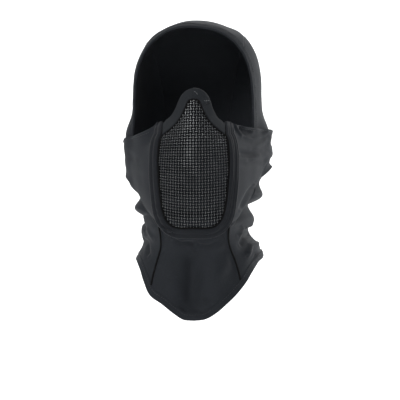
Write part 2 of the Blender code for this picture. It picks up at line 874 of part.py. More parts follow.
def cheek(name, side, top_drop, foot_drop, sag, path, parts, finish):
    """Cloth stretched from the roll beside the mesh back over the ear, outside the side panel."""
    columns, rows = 11, 14
    split = chin_split(path)
    order = range(split + 1) if side < 0 else range(len(path) - 1, len(path) - 2 - split, -1)
    front = [roll_outer(path, k, ROLL_GAP) for k in order]
    front[-1] = front[-2].lerp(front[-1], 0.5)
    ear_share = 0.72

    def stretched(across, down):
        start = on_line(front, down)
        z = -(top_drop + (foot_drop - top_drop) * down)
        ear = cloth(side * 90, z, CHEEK_LIFT)
        bow = 4 * across * (1 - across)
        point = start.lerp(ear, across)
        out = Vector((ear.y - start.y, start.x - ear.x, 0.0)).normalized() * side
        point += out * CHEEK_BULGE * bow
        early = 4 * (1 - across) ** 1.6 * across**0.6
        point.z += bow * CHEEK_FOOT_RISE * smooth(down) - early * sag * smooth(1 - down)
        return point

    def place(across, down):
        if across <= ear_share:
            point = stretched(across / ear_share, down)
        else:
            z = -(top_drop + (foot_drop - top_drop) * down)
            turn = 90 + (CHEEK_REACH - 90) * (across - ear_share) / (1 - ear_share)
            point = cloth(side * turn, z, CHEEK_LIFT)
        flat = Vector((point.x, point.y, 0.0))
        turn = turn_of(*point)
        rest = cloth(turn, point.z, CHEEK_LIFT)
        need = Vector((rest.x, rest.y, 0.0)).length
        reach, soft = flat.length, CHEEK_BLEND
        higher = max(reach, need)
        if across <= ear_share and abs(reach - need) < soft:
            higher += (soft - abs(reach - need)) ** 2 / (4 * soft)
        tuck = 0.0
        for where, at, share, half in PLEATS:
            if where == side:
                near = math.exp(-(((down - at) / half) ** 2)) * smooth((across - 0.45) / 0.3)
                tuck += near * share * PLEAT_DEPTH
        higher = max(need, higher - tuck)
        return Vector((0, 0, point.z)) + flat.normalized() * higher

    return panel(name, columns, rows, place, parts, finish)


def mesh_guard(parts, cutters, finish):
    """Wires that cross square on the formed surface, cut to the outline inside the folded edges."""
    margin = WIRE_TUCK + WIRE_PITCH
    columns = 2 * math.ceil((GUARD_WIDTH / 2 + margin) / WIRE_PITCH)
    rows = math.ceil((GUARD_HEIGHT + 2 * margin) / WIRE_PITCH)
    top = -GUARD_TOP + margin

    def place(across, down):
        x = (across - 0.5) * columns * WIRE_PITCH
        return guard_point(x, top - down * rows * WIRE_PITCH)

    bm = laid_grid(columns, rows, place)
    mesh = bpy.data.meshes.new("mesh_guard")
    bm.to_mesh(mesh)
    bm.free()
    made = add_object("mesh_guard", mesh, parts, finish)
    wires = made.modifiers.new("Wires", "WIREFRAME")
    wires.thickness = WIRE
    wires.use_even_offset = False
    wires.use_boundary = True

    outline = even(outline_half(-1)[::-1] + outline_half(1)[1:-1], 90)
    ring = []
    for k, p in enumerate(outline):
        ring.append(p + across_surface(p, outward(outline, k)) * WIRE_TUCK)
    bm = bmesh.new()
    near = -NOSE_REACH - GUARD_SAG
    verts = [bm.verts.new((p.x, near, p.z)) for p in ring]
    face = bm.faces.new(verts)
    made_faces = bmesh.ops.extrude_face_region(bm, geom=[face])["geom"]
    back = [v for v in made_faces if isinstance(v, bmesh.types.BMVert)]
    bmesh.ops.translate(bm, verts=back, vec=(0.0, NOSE_REACH, 0.0))
    bmesh.ops.recalc_face_normals(bm, faces=bm.faces)
    prism = bpy.data.meshes.new("guard_outline")
    bm.to_mesh(prism)
    bm.free()
    cutter = add_object("guard_outline", prism, cutters, None)
    cutter.hide_render = True
    cutter.display_type = "WIRE"
    clip = made.modifiers.new("Outline", "BOOLEAN")
    clip.operation = "INTERSECT"
    clip.object = cutter
    return made


def nose_binding(parts, finish):
    """The smooth band folded over the mesh's sloping edges and across the bridge of the nose."""
    path = nose_path(29)
    up = Vector((0.0, 0.0, 1.0))

    def reach(k):
        toe = smooth((abs(2 * k / (len(path) - 1) - 1) - 0.62) / 0.38)
        way = outward(path, k).lerp(up, toe).normalized()
        return way, BINDING_WIDTH + (BINDING_TOE - BINDING_WIDTH) * toe

    inset = Vector((2 * SEAM_GAP, 0.0, 0.0))
    path = [p + inset * (1 - 2 * k / (len(path) - 1)) for k, p in enumerate(path)]
    return edge_channel("nose_binding", path, reach, BINDING_THICKNESS, parts, finish)


def bib_piping(name, side, path, parts, finish):
    """The dark corded seam between the bib and a side panel."""
    count = 26
    end, draw = drawn(side, path)
    start = BIB_CORNER - 2 * SEAM_GAP

    def turn_at(z):
        return side * bib_seam_turn(side, z, 0.0)

    _, foot = settled(lambda at: hem_top(at, HEM_GAP), turn_at, NECK_FOOT)
    points = []
    for k in range(count):
        z = start + (foot - start) * k / (count - 1)
        points.append(cloth(turn_at(z), z, -CLOTH / 2) + draw * draw_share(end, z))
    return cord(name, points, PIPING, parts, finish)


def main():
    for obj in list(bpy.data.objects):
        bpy.data.objects.remove(obj)
    parts = new_collection("mesh_face_balaclava")
    cutters = new_collection("cutters", shown=False)
    knit = material("black_stretch_knit", (0.040, 0.042, 0.046), 0.85)
    binding = material("black_binding", (0.032, 0.033, 0.037), 0.60)
    thread = material("black_piping", (0.012, 0.012, 0.013), 0.70)
    steel = material("black_steel_wire", (0.050, 0.051, 0.055), 0.45, 0.6)

    path = roll_path(45)
    crown_strip(parts, knit)
    rim_hem(parts, knit)
    bottom_hem(parts, knit)
    bib(path, parts, knit)
    for name, side in (("left", -1), ("right", 1)):
        side_panel(f"{name}_side_panel", side, path, parts, knit)
        bib_piping(f"{name}_bib_piping", side, path, parts, thread)
    for name, side, top_drop, foot_drop, sag in CHEEKS:
        cheek(name, side, top_drop, foot_drop, sag, path, parts, knit)
    edge_channel("chin_roll", path, lambda k: roll_reach(path, k), ROLL_THICKNESS, parts, knit)
    nose_binding(parts, binding)
    mesh_guard(parts, cutters, steel)


main()
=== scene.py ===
"""A stretch balaclava with a woven wire guard over the nose and mouth, in the shape it has when worn.

Metres, +Z up, the face opening towards -Y, the origin inside the cloth at the top of the crown.
Left and right are as seen from the front.
"""

import math

import bpy
import numpy as np
from mathutils import Matrix, Vector, noise


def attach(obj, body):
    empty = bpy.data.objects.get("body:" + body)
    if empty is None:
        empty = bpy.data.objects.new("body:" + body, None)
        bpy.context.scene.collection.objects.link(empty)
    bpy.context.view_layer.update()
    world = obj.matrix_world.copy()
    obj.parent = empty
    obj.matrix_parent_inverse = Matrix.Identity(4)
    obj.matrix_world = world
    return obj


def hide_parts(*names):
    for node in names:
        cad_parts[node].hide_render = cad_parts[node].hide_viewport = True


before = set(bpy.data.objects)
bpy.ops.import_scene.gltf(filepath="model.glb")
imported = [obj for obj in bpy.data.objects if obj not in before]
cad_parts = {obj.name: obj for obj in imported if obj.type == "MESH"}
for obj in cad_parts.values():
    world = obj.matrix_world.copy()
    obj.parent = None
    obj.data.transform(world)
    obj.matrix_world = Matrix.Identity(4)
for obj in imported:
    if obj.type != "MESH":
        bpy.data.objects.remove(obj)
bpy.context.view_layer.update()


# The room: a pale seamless sweep of paper, floor and backdrop in one, well below the tip of the bib,
# soft window-sized lights in front, above and at both sides, and a level long-lens camera.
FLOOR_LEVEL = -0.620
PAPER_SIZE = 12.0
PAPER_NEAR = 4.5
SWEEP_START = 6.5
SWEEP_RADIUS = 1.2
SWEEP_LENGTH = 0.5 * math.pi * SWEEP_RADIUS


def fibrous(name, scale, dark, pale, roughness):
    """A dull finish whose colour wavers between two tones, as fibres do."""
    made = bpy.data.materials.new(name)
    made.use_nodes = True
    nodes, links = made.node_tree.nodes, made.node_tree.links
    fibres = nodes.new("ShaderNodeTexNoise")
    fibres.inputs["Scale"].default_value = scale
    tint = nodes.new("ShaderNodeMix")
    tint.data_type = "RGBA"
    tint.inputs[6].default_value = (*dark, 1)
    tint.inputs[7].default_value = (*pale, 1)
    links.new(nodes.new("ShaderNodeTexCoord").outputs["Object"], fibres.inputs["Vector"])
    links.new(fibres.outputs["Fac"], tint.inputs[0])
    links.new(tint.outputs[2], nodes["Principled BSDF"].inputs["Base Color"])
    nodes["Principled BSDF"].inputs["Roughness"].default_value = roughness
    return made


bpy.ops.object.select_all(action="DESELECT")
bpy.ops.mesh.primitive_grid_add(x_subdivisions=8, y_subdivisions=40, size=1)
backdrop = bpy.context.object
backdrop.name = "paper_sweep"
for vert in backdrop.data.vertices:
    run = (vert.co.y + 0.5) * PAPER_SIZE
    bend = min(max(run - SWEEP_START, 0.0), SWEEP_LENGTH) / SWEEP_RADIUS
    rise = SWEEP_RADIUS * (1 - math.cos(bend)) + max(0.0, run - SWEEP_START - SWEEP_LENGTH)
    reach = min(run, SWEEP_START) + SWEEP_RADIUS * math.sin(bend) - PAPER_NEAR
    vert.co = (vert.co.x * PAPER_SIZE, reach, FLOOR_LEVEL + rise)
backdrop.data.shade_smooth()
pale_paper = fibrous("pale_paper", 60.0, (0.91, 0.915, 0.92), (0.93, 0.935, 0.94), 0.95)
pale_paper.node_tree.nodes["Principled BSDF"].inputs["Specular IOR Level"].default_value = 0.1
backdrop.data.materials.append(pale_paper)

world = bpy.data.worlds.new("studio")
bpy.context.scene.world = world
world.use_nodes = True
world.node_tree.nodes["Background"].inputs["Color"].default_value = (0.94, 0.97, 1.0, 1)
world.node_tree.nodes["Background"].inputs["Strength"].default_value = 0.22

HOOD_MIDDLE = (0.0, -0.03, -0.17)
PAPER_MIDDLE = (0.0, 2.6, -0.1)
for name, place, aim, size, power in (
    ("front_window", (-0.95, -1.45, 0.70), HOOD_MIDDLE, 0.7, 12.5),
    ("right_window", (1.20, 0.58, 0.15), HOOD_MIDDLE, 0.45, 10.0),
    ("left_window", (-1.30, 0.40, 0.25), HOOD_MIDDLE, 0.5, 1.6),
    ("low_window", (0.30, -1.80, -0.45), HOOD_MIDDLE, 0.5, 2.6),
    ("ceiling_window", (0.10, 0.00, 1.25), HOOD_MIDDLE, 0.7, 5.0),
    ("back_wash", (0.00, 1.60, 1.40), PAPER_MIDDLE, 2.0, 75.0),
):
    bpy.ops.object.light_add(type="AREA", location=place)
    lamp = bpy.context.object
    lamp.name = name
    lamp.data.size = size
    lamp.data.energy = power
    lamp.rotation_euler = (Vector(aim) - Vector(place)).to_track_quat("-Z", "Y").to_euler()

CAMERA_TURN = math.radians(1.2)
CAMERA_DISTANCE = 2.0
CAMERA_SHIFT = 0.0045
CAMERA_LEVEL = -0.2008
camera_x = CAMERA_SHIFT + CAMERA_DISTANCE * math.sin(CAMERA_TURN)
bpy.ops.object.camera_add(
    location=(camera_x, -CAMERA_DISTANCE * math.cos(CAMERA_TURN), CAMERA_LEVEL),
    rotation=(math.pi / 2, 0.0, CAMERA_TURN),
)
camera = bpy.context.object
camera.name = "front_camera"
camera.data.lens = 160.7
camera.data.sensor_width = 36.0
bpy.context.scene.camera = camera
bpy.context.scene.view_settings.view_transform = "Standard"

# Crown strip: black polyester-elastane jersey from the forehead over the crown and down the nape.
# It is cut as one long strip, overlocked to the side panels and stretched over the head.
CLOTH = 0.0016
CLOTH_SHOWN = 0.0010
HEM_WIDTH = 0.0080
HEM_PROUD = 0.0004
SEAM_LAP = 0.0012
HEM_SEAM = HEM_WIDTH - SEAM_LAP
HOOD_WIDTH = 0.1434
HOOD_LENGTH = 0.1890
CROWN_HEIGHT = 0.0950
JAW_HEIGHT = 0.0966
SQUARENESS = 2.5
CROWN_SQUARENESS = 2.4
LEFT_CROWN_SHOULDER = 2.80
RIGHT_CROWN_SHOULDER = 3.25
LEFT_CROWN_ROUND = 1.90
RIGHT_CROWN_ROUND = 2.00
CROWN_STRIP = 0.1080
NAPE_STRIP = 0.0700
NECK_WIDTH = 0.1180
NECK_DEPTH = 0.1640
NECK_HEIGHT = 0.0750
BIB_DROP = 0.0645
BACK_DROP = 0.0400
FOLD_DEPTH = 0.0100
EAR_RISE = 0.0120
EAR_HEIGHT = 0.0370
RIM_SETBACK = 0.0475
RIM_LEAN = -0.104
RIM_TWIST = -0.150
RIM_BOTTOM = 0.1410
WIDEST_LEVEL = CLOTH - CROWN_HEIGHT
JAW_LEVEL = WIDEST_LEVEL - JAW_HEIGHT
NECK_FOOT = JAW_LEVEL - NECK_HEIGHT
BIB_TIP = NECK_FOOT - BIB_DROP
UNDER_RIM = -RIM_BOTTOM - 0.0015
HOOD_CENTRE = np.array((0.0, 0.0, WIDEST_LEVEL))

# Down the hood, the neck and the chest as shares of their heights, then left, right, front, back.
HOOD_SECTIONS = (
    (0.00, 0.492, 0.514, 0.487, 0.508),
    (0.30, 0.488, 0.510, 0.476, 0.508),
    (0.55, 0.474, 0.490, 0.455, 0.485),
    (0.80, 0.450, 0.460, 0.430, 0.447),
)
NECK_SECTIONS = (
    (0.00, 0.525, 0.520, 0.500, 0.476),
    (0.20, 0.505, 0.495, 0.525, 0.458),
    (0.36, 0.496, 0.487, 0.600, 0.450),
    (0.51, 0.492, 0.487, 0.700, 0.450),
    (0.66, 0.490, 0.500, 0.650, 0.455),
    (0.82, 0.505, 0.545, 0.590, 0.475),
    (1.00, 0.565, 0.615, 0.545, 0.505),
)
CHEST_SECTIONS = (
    (0.31, 0.640, 0.670, 0.525, 0.530),
    (0.62, 0.730, 0.760, 0.535, 0.560),
    (1.05, 0.830, 0.860, 0.580, 0.600),
)
# Pinched lines round the neck: left, back, right level, then the depth of the ruffle under each.
RUFFLES = (
    (-0.24, -0.27, -0.16, 0.35, 0.50, 1.35),
    (0.06, 0.08, 0.21, 0.90, 0.55, 0.80),
    (0.37, 0.41, 0.53, 0.30, 0.55, 0.60),
    (0.76, 0.83, 1.04, 0.00, 0.00, 0.00),
)
# Ears under the cloth: side, turn, spread, drop in ear heights, rise.
EARS = ((-1, 94.0, 19.0, 4.03, 0.80), (1, 94.0, 19.0, 4.03, 0.92))
# Bottom hem by the turn from the front: left and right share of the bib's drop, then the back's.
FRONT_HEM = (
    (0.0, 1.000, 1.000),
    (4.0, 0.985, 0.980),
    (10.0, 0.875, 0.880),
    (18.0, 0.735, 0.720),
    (29.0, 0.600, 0.530),
    (40.0, 0.390, 0.370),
    (52.0, 0.190, 0.200),
    (66.0, 0.060, 0.070),
    (90.0, -0.020, -0.020),
)
BACK_HEM = (
    (90.0, -0.035), (108.0, 0.060), (126.0, 0.330), (145.0, 0.680), (163.0, 0.930), (180.0, 1.000),
)


def spline(rows, x, column):
    """Value of a column at x, on a smooth curve through the rows."""
    table = np.array(rows, float)
    xs, ys = table[:, 0], table[:, column]
    slopes = np.gradient(ys)
    slopes[1:-1] = (ys[2:] - ys[:-2]) / (xs[2:] - xs[:-2])
    slopes[0] = (ys[1] - ys[0]) / (xs[1] - xs[0])
    slopes[-1] = (ys[-1] - ys[-2]) / (xs[-1] - xs[-2])
    x = np.clip(x, xs[0], xs[-1])
    i = np.clip(np.searchsorted(xs, x, side="right") - 1, 0, len(xs) - 2)
    span = xs[i + 1] - xs[i]
    t = (x - xs[i]) / span
    rise = (2 * t**3 - 3 * t**2 + 1) * ys[i] + (3 * t**2 - 2 * t**3) * ys[i + 1]
    return rise + (t**3 - 2 * t**2 + t) * span * slopes[i] + (t**3 - t**2) * span * slopes[i + 1]


def smooth(x):
    x = np.clip(x, 0.0, 1.0)
    return x * x * (3 - 2 * x)


def bell(x, at, half):
    """1 at a place, fading to 0 over a few half widths to both sides."""
    return np.exp(-(((x - at) / half) ** 2))


def root(function, low, high):
    """Where a function changes sign between low and high."""
    above = function(low) > 0
    for _ in range(30):
        middle = (low + high) / 2
        same = (function(middle) > 0) == above
        low = np.where(same, middle, low)
        high = np.where(same, high, middle)
    return (low + high) / 2


def xyz(x, y, z):
    return np.stack(np.broadcast_arrays(x, y, z), axis=-1).astype(float)


def unit(ways):
    return ways / np.maximum(np.linalg.norm(ways, axis=-1, keepdims=True), 1e-9)


FORM = [(d * JAW_HEIGHT, l * HOOD_WIDTH, r * HOOD_WIDTH, f * HOOD_LENGTH, b * HOOD_LENGTH)
        for d, l, r, f, b in HOOD_SECTIONS]
FORM += [(JAW_HEIGHT + d * NECK_HEIGHT, l * NECK_WIDTH, r * NECK_WIDTH, f * NECK_DEPTH, b * NECK_DEPTH)
         for d, l, r, f, b in NECK_SECTIONS]
FORM += [(JAW_HEIGHT + NECK_HEIGHT + d * BIB_DROP,
          l * NECK_WIDTH, r * NECK_WIDTH, f * NECK_DEPTH, b * NECK_DEPTH)
         for d, l, r, f, b in CHEST_SECTIONS]


def section(z, right, back):
    """Half width and half depth of the form at height z."""
    drop = np.maximum(0.0, WIDEST_LEVEL - z)
    wide = np.where(right, spline(FORM, drop, 2), spline(FORM, drop, 1))
    deep = np.where(back, spline(FORM, drop, 4), spline(FORM, drop, 3))
    rise = np.clip((z - WIDEST_LEVEL) / CROWN_HEIGHT, 0.0, 1.0)
    shoulder = np.where(right, RIGHT_CROWN_SHOULDER, LEFT_CROWN_SHOULDER)
    rounding = np.where(right, RIGHT_CROWN_ROUND, LEFT_CROWN_ROUND)
    wide = wide * (1 - rise**shoulder) ** (1 / rounding)
    deep = deep * (1 - rise**CROWN_SQUARENESS) ** (1 / CROWN_SQUARENESS)
    return wide, deep


def form_point(turn, z):
    """Point of the smooth form. Turn is in degrees, 0 at the front, positive to the right."""
    angle = np.radians(np.abs(turn))
    wide, deep = section(z, turn >= 0, np.abs(turn) > 90)
    power = 2 / SQUARENESS
    x = np.where(turn < 0, -1, 1) * wide * np.abs(np.sin(angle)) ** power
    y = deep * np.abs(np.cos(angle)) ** power
    return xyz(x, np.where(np.abs(turn) > 90, y, -y), z)


def turn_of(points):
    x, y, z = points[..., 0], points[..., 1], points[..., 2]
    wide, deep = section(z, x >= 0, y > 0)
    across = (np.abs(x) / np.maximum(wide, 1e-6)) ** (SQUARENESS / 2)
    along = (np.abs(y) / np.maximum(deep, 1e-6)) ** (SQUARENESS / 2)
    angle = np.degrees(np.arctan2(across, along))
    return np.where(x < 0, -1, 1) * np.where(y > 0, 180 - angle, angle)


def turn_at_x(x, z):
    wide, _ = section(z, x >= 0, False)
    share = np.minimum(1.0, np.abs(x) / np.maximum(wide, 1e-6))
    return np.where(x < 0, -1, 1) * np.degrees(np.arcsin(share ** (SQUARENESS / 2)))


def form_at(x, y, z):
    """Above 0 outside the smooth form, below 0 inside it."""
    wide, deep = section(z, x >= 0, y > 0)
    across = (np.abs(x) / np.maximum(wide, 1e-5)) ** SQUARENESS
    along = (np.abs(y) / np.maximum(deep, 1e-5)) ** SQUARENESS
    return np.where(wide < 1e-5, 1.0, across + along - 1)


def pinch(turn, line, column=0):
    around = smooth((180 - np.abs(turn)) / 90)
    back = RUFFLES[line][column + 1]
    end = np.where(turn < 0, RUFFLES[line][column], RUFFLES[line][column + 2])
    return back + (end - back) * around


def pinch_level(turn, line):
    return JAW_LEVEL - pinch(turn, line) * NECK_HEIGHT


def ruffle(turn, z):
    """How far the ruffles stand out at a place on the neck, and how far they hang."""
    fade = smooth((np.abs(turn) - 38) / 38)
    out = np.zeros_like(z)
    hang = np.zeros_like(z)
    for line in range(len(RUFFLES) - 1):
        top, foot = pinch_level(turn, line), pinch_level(turn, line + 1)
        share = np.clip((top - z) / (top - foot), 0.0, 1.0)
        depth = pinch(turn, line, 3)
        out += depth * np.sin(np.pi * share**1.7)
        hang += depth * np.sin(np.pi * share**2.6)
    return out * fade * FOLD_DEPTH, hang * fade * FOLD_DEPTH


def ear_rise(turn, z):
    rise = np.zeros_like(z)
    for side, at, spread, down, share in EARS:
        across = (np.abs(turn) - at) / spread
        along = (-z - down * EAR_HEIGHT) / EAR_HEIGHT
        rise += np.where(turn * side > 0, share * EAR_RISE * np.exp(-(across**4) - along**4), 0.0)
    return rise


HANG_SHARE = 0.04
CROWN_SINK = 0.0021
CROWN_SINK_HALF = 0.034


def dressed(points, lift=0.0):
    """Points of the smooth form moved out by ears and ruffles, and by lift for an outer layer. The
    middle of the crown sinks a little behind the rim, as the strip is stretched flat there."""
    turn = turn_of(points)
    z = points[..., 2]
    folds, hang = ruffle(turn, z)
    out = ear_rise(turn, z) + folds + lift
    above = np.maximum(0.0, z - WIDEST_LEVEL) / CROWN_HEIGHT
    flat = unit(xyz(points[..., 0], points[..., 1], np.zeros_like(z)))
    way = flat * (1 - above**2)[..., None]
    way[..., 2] += np.maximum(above**2, np.where(np.linalg.norm(way, axis=-1) < 1e-6, 1.0, 0.0))
    moved = points + unit(way) * out[..., None]
    moved[..., 2] += HANG_SHARE * hang
    middle = 1 - smooth((np.abs(moved[..., 0]) - CROWN_SINK_HALF) / 0.018)
    behind = smooth((moved[..., 1] - rim_y(moved[..., 0], moved[..., 2]) - 0.003) / 0.025)
    moved[..., 2] -= CROWN_SINK * middle * behind * smooth((moved[..., 2] + 0.060) / 0.050)
    return moved


def cloth(turn, z, lift=0.0):
    return dressed(form_point(turn, z), lift)


def rim_y(x, z):
    return -RIM_SETBACK + RIM_LEAN * (z - WIDEST_LEVEL) + RIM_TWIST * x


def rim_turn(side, z, behind):
    """The turn where the form at height z meets a plane this far behind the rim's."""

    def ahead(turn):
        points = form_point(side * turn, z)
        return points[..., 1] - rim_y(points[..., 0], z) - behind

    z = np.asarray(z, float)
    return root(ahead, np.full(z.shape, 1.0), np.full(z.shape, 170.0))


def strip_half(degrees):
    return (CROWN_STRIP + (NAPE_STRIP - CROWN_STRIP) * smooth((degrees - 100) / 110)) / 2


def round_ears(points):
    """Angle round the line through the ears: 0 in front, 90 on top, 180 behind."""
    degrees = np.degrees(np.arctan2(points[..., 2] - WIDEST_LEVEL, -points[..., 1]))
    return np.where(degrees < -89.9, degrees + 360, degrees)


def strip_turn(side, z):
    """The turn at the back where the form at height z meets the strip's seam."""

    def inside(turn):
        points = form_point(side * turn, z)
        return np.abs(points[..., 0]) - strip_half(round_ears(points))

    z = np.asarray(z, float)
    return root(inside, np.full(z.shape, 90.0), np.full(z.shape, 179.5))


def hem_level(turn):
    away = np.abs(turn)
    front = np.where(turn < 0, spline(FRONT_HEM, away, 1), spline(FRONT_HEM, away, 2))
    back = spline(BACK_HEM, away, 1)
    return NECK_FOOT - np.where(np.abs(turn) > 90, back * BACK_DROP, front * BIB_DROP)


def hem_top(turn, width):
    """Height on the cloth that lies this far above the bottom edge, measured across the hem."""
    turn = np.asarray(turn, float)
    low, high = (turn - 1 + 180) % 360 - 180, (turn + 1 + 180) % 360 - 180
    a, b = form_point(low, hem_level(turn)), form_point(high, hem_level(turn))
    slope = (hem_level(high) - hem_level(low)) / np.maximum(np.linalg.norm(b - a, axis=-1), 1e-6)
    return hem_level(turn) + width * np.sqrt(1 + slope**2)


CLOTH_ROWS = (4, 3, 4, 4, 3, 3)


def level_line(turn, row):
    """Height of a row of the cloth below the widest level, so that rows follow the ruffles."""
    hem = hem_top(turn, HEM_SEAM)
    third = pinch_level(turn, 2)
    last = np.maximum(pinch_level(turn, 3), hem + 0.35 * (third - hem))
    first, second = pinch_level(turn, 0), pinch_level(turn, 1)
    keys = [WIDEST_LEVEL + 0 * turn, UNDER_RIM + 0 * turn, first, second, third, last, hem]
    level = keys[-1]
    done = 0
    for key, following, count in zip(keys, keys[1:], CLOTH_ROWS):
        here = (row >= done) & (row <= done + count)
        level = np.where(here, key + (following - key) * (row - done) / count, level)
        done += count
    return level


def settled(level, turn_at, start):
    """Where a line of the cloth, whose height depends on the turn, meets one that depends on height."""
    z = start
    for _ in range(7):
        turn = turn_at(z)
        z = level(turn)
    return turn, z


def only(piece):
    """Leaves one piece selected and active."""
    bpy.ops.object.select_all(action="DESELECT")
    piece.select_set(True)
    bpy.context.view_layer.objects.active = piece


def closed(piece, gap):
    """Joins the corners of a piece that lie together."""
    only(piece)
    bpy.ops.object.mode_set(mode="EDIT")
    bpy.ops.mesh.select_all(action="SELECT")
    bpy.ops.mesh.remove_doubles(threshold=gap)
    bpy.ops.object.mode_set(mode="OBJECT")


def of_corners(piece, kind="co"):
    """Places or normals of a piece's corners."""
    values = np.empty(len(piece.data.vertices) * 3)
    piece.data.vertices.foreach_get(kind, values)
    return values.reshape(-1, 3)


def laid(name, columns, rows, place, flat):
    """A flat piece of cloth, its corners laid where place(across, down) says, its UV map in metres."""
    bpy.ops.object.select_all(action="DESELECT")
    bpy.ops.mesh.primitive_grid_add(x_subdivisions=columns, y_subdivisions=rows, size=1)
    piece = bpy.context.object
    piece.name = name
    piece.data.name = name
    flat_map = piece.data.uv_layers.active.data
    uv = np.empty(len(flat_map) * 2)
    flat_map.foreach_get("uv", uv)
    flat_map.foreach_set("uv", (uv.reshape(-1, 2) * np.array(flat)).ravel())
    at = of_corners(piece)
    across, down = at[:, 0] + 0.5, 0.5 - at[:, 1]
    piece.data.vertices.foreach_set("co", place(across, down).ravel())
    cut = piece.data.attributes.new("cut", "FLOAT_VECTOR", "POINT")
    cut.data.foreach_set("vector", xyz(across, down, 0.0).ravel())
    piece.data.update()
    closed(piece, 1e-5)
    centre = Vector(HOOD_CENTRE)
    facing = sum(f.normal.dot(f.center - centre) * f.area for f in piece.data.polygons)
    if facing < 0:
        piece.data.flip_normals()
    piece.data.shade_smooth()
    return piece


def line_share(spots, line, width):
    """1 on a crease's line, fading to 0 across it and towards its ends. Spots and line are pairs."""
    line = np.array(line, float)
    near = np.full(len(spots), 1e9)
    for a, b in zip(line[:-1], line[1:]):
        along = b - a
        t = np.clip(((spots - a) @ along) / (along @ along), 0, 1)
        near = np.minimum(near, np.linalg.norm(spots - a - t[:, None] * along, axis=1))
    start, end = np.linalg.norm(spots - line[0], axis=1), np.linalg.norm(spots - line[-1], axis=1)
    return bell(near, 0, width) * smooth(np.minimum(start, end) / (2.5 * width) + 0.15)


def creased(piece, creases, spot, rumple=0.0, grain=40.0, ridge=None, hold=None):
    """Moves the cloth along its normals: each crease is a line, a width and a depth, plus slow
    unevenness and a ridge, given across and down the cut piece. Hold keeps the sewn edges in place."""
    points, normals = of_corners(piece), of_corners(piece, "normal")
    spots = spot(points)
    out = np.zeros(len(points))
    for line, width, depth in creases:
        out += depth * line_share(spots, line, width)
    if rumple:
        out += rumple * np.array([noise.noise(Vector(p) * grain) for p in points])
    cut = piece.data.attributes["cut"]
    across_down = np.empty(len(points) * 3)
    cut.data.foreach_get("vector", across_down)
    across, down, _ = across_down.reshape(-1, 3).T
    if hold:
        out *= hold(across, down)
    if ridge:
        out += ridge(across, down)
    piece.data.attributes.remove(cut)
    points += normals * out[:, None]
    piece.data.vertices.foreach_set("co", points.ravel())
    piece.data.update()


def applied(piece, kind, **settings):
    """Adds a modifier with its settings and applies it."""
    only(piece)
    added = piece.modifiers.new(kind.title(), kind)
    for name, value in settings.items():
        setattr(added, name, value)
    bpy.ops.object.modifier_apply(modifier=added.name)


# At a scale of 1 the wave texture repeats every 0.314.
WAVE_REPEAT = 0.314


def jersey(name, dark, pale, rib, knit=0.16, sheen=0.05):
    """Black stretch jersey: fine knitted ribs along the UV map, a felted nap and slow colour change."""
    made = bpy.data.materials.new(name)
    made.use_nodes = True
    nodes, links = made.node_tree.nodes, made.node_tree.links
    shader = nodes["Principled BSDF"]
    shader.inputs["Roughness"].default_value = 0.72
    shader.inputs["Specular IOR Level"].default_value = 0.12
    shader.inputs["Sheen Weight"].default_value = sheen
    shader.inputs["Sheen Roughness"].default_value = 0.42
    where = nodes.new("ShaderNodeTexCoord")
    wales = nodes.new("ShaderNodeTexWave")
    wales.inputs["Scale"].default_value = WAVE_REPEAT / rib
    wales.inputs["Distortion"].default_value = 0.6
    wales.inputs["Detail"].default_value = 1.0
    courses = nodes.new("ShaderNodeTexWave")
    courses.bands_direction = "Y"
    courses.inputs["Scale"].default_value = WAVE_REPEAT / (rib * 0.8)
    courses.inputs["Distortion"].default_value = 0.6
    knitted = nodes.new("ShaderNodeMath")
    knitted.operation = "MULTIPLY"
    nap = nodes.new("ShaderNodeTexNoise")
    nap.inputs["Scale"].default_value = 900.0
    nap.inputs["Detail"].default_value = 4.0
    height = nodes.new("ShaderNodeMix")
    height.inputs[0].default_value = 0.45
    bump = nodes.new("ShaderNodeBump")
    bump.inputs["Strength"].default_value = knit
    bump.inputs["Distance"].default_value = 0.0003
    clouds = nodes.new("ShaderNodeTexNoise")
    clouds.inputs["Scale"].default_value = 22.0
    clouds.inputs["Detail"].default_value = 3.0
    tone = nodes.new("ShaderNodeMix")
    tone.data_type = "RGBA"
    tone.inputs[6].default_value = (*dark, 1)
    tone.inputs[7].default_value = (*pale, 1)
    fibre = nodes.new("ShaderNodeMix")
    fibre.data_type = "RGBA"
    fibre.blend_type = "MULTIPLY"
    fibre.inputs[0].default_value = 0.35
    links.new(where.outputs["UV"], wales.inputs["Vector"])
    links.new(where.outputs["UV"], courses.inputs["Vector"])
    links.new(where.outputs["Object"], nap.inputs["Vector"])
    links.new(where.outputs["Object"], clouds.inputs["Vector"])
    links.new(wales.outputs["Fac"], knitted.inputs[0])
    links.new(courses.outputs["Fac"], knitted.inputs[1])
    links.new(knitted.outputs["Value"], height.inputs[2])
    links.new(nap.outputs["Fac"], height.inputs[3])
    links.new(height.outputs[0], bump.inputs["Height"])
    links.new(bump.outputs["Normal"], shader.inputs["Normal"])
    links.new(clouds.outputs["Fac"], tone.inputs[0])
    links.new(tone.outputs[2], fibre.inputs[6])
    links.new(nap.outputs["Fac"], fibre.inputs[7])
    links.new(fibre.outputs[2], shader.inputs["Base Color"])
    return made


hood_jersey = jersey("hood_jersey", (0.0250, 0.0278, 0.0330), (0.0350, 0.0388, 0.0455), 0.0007)


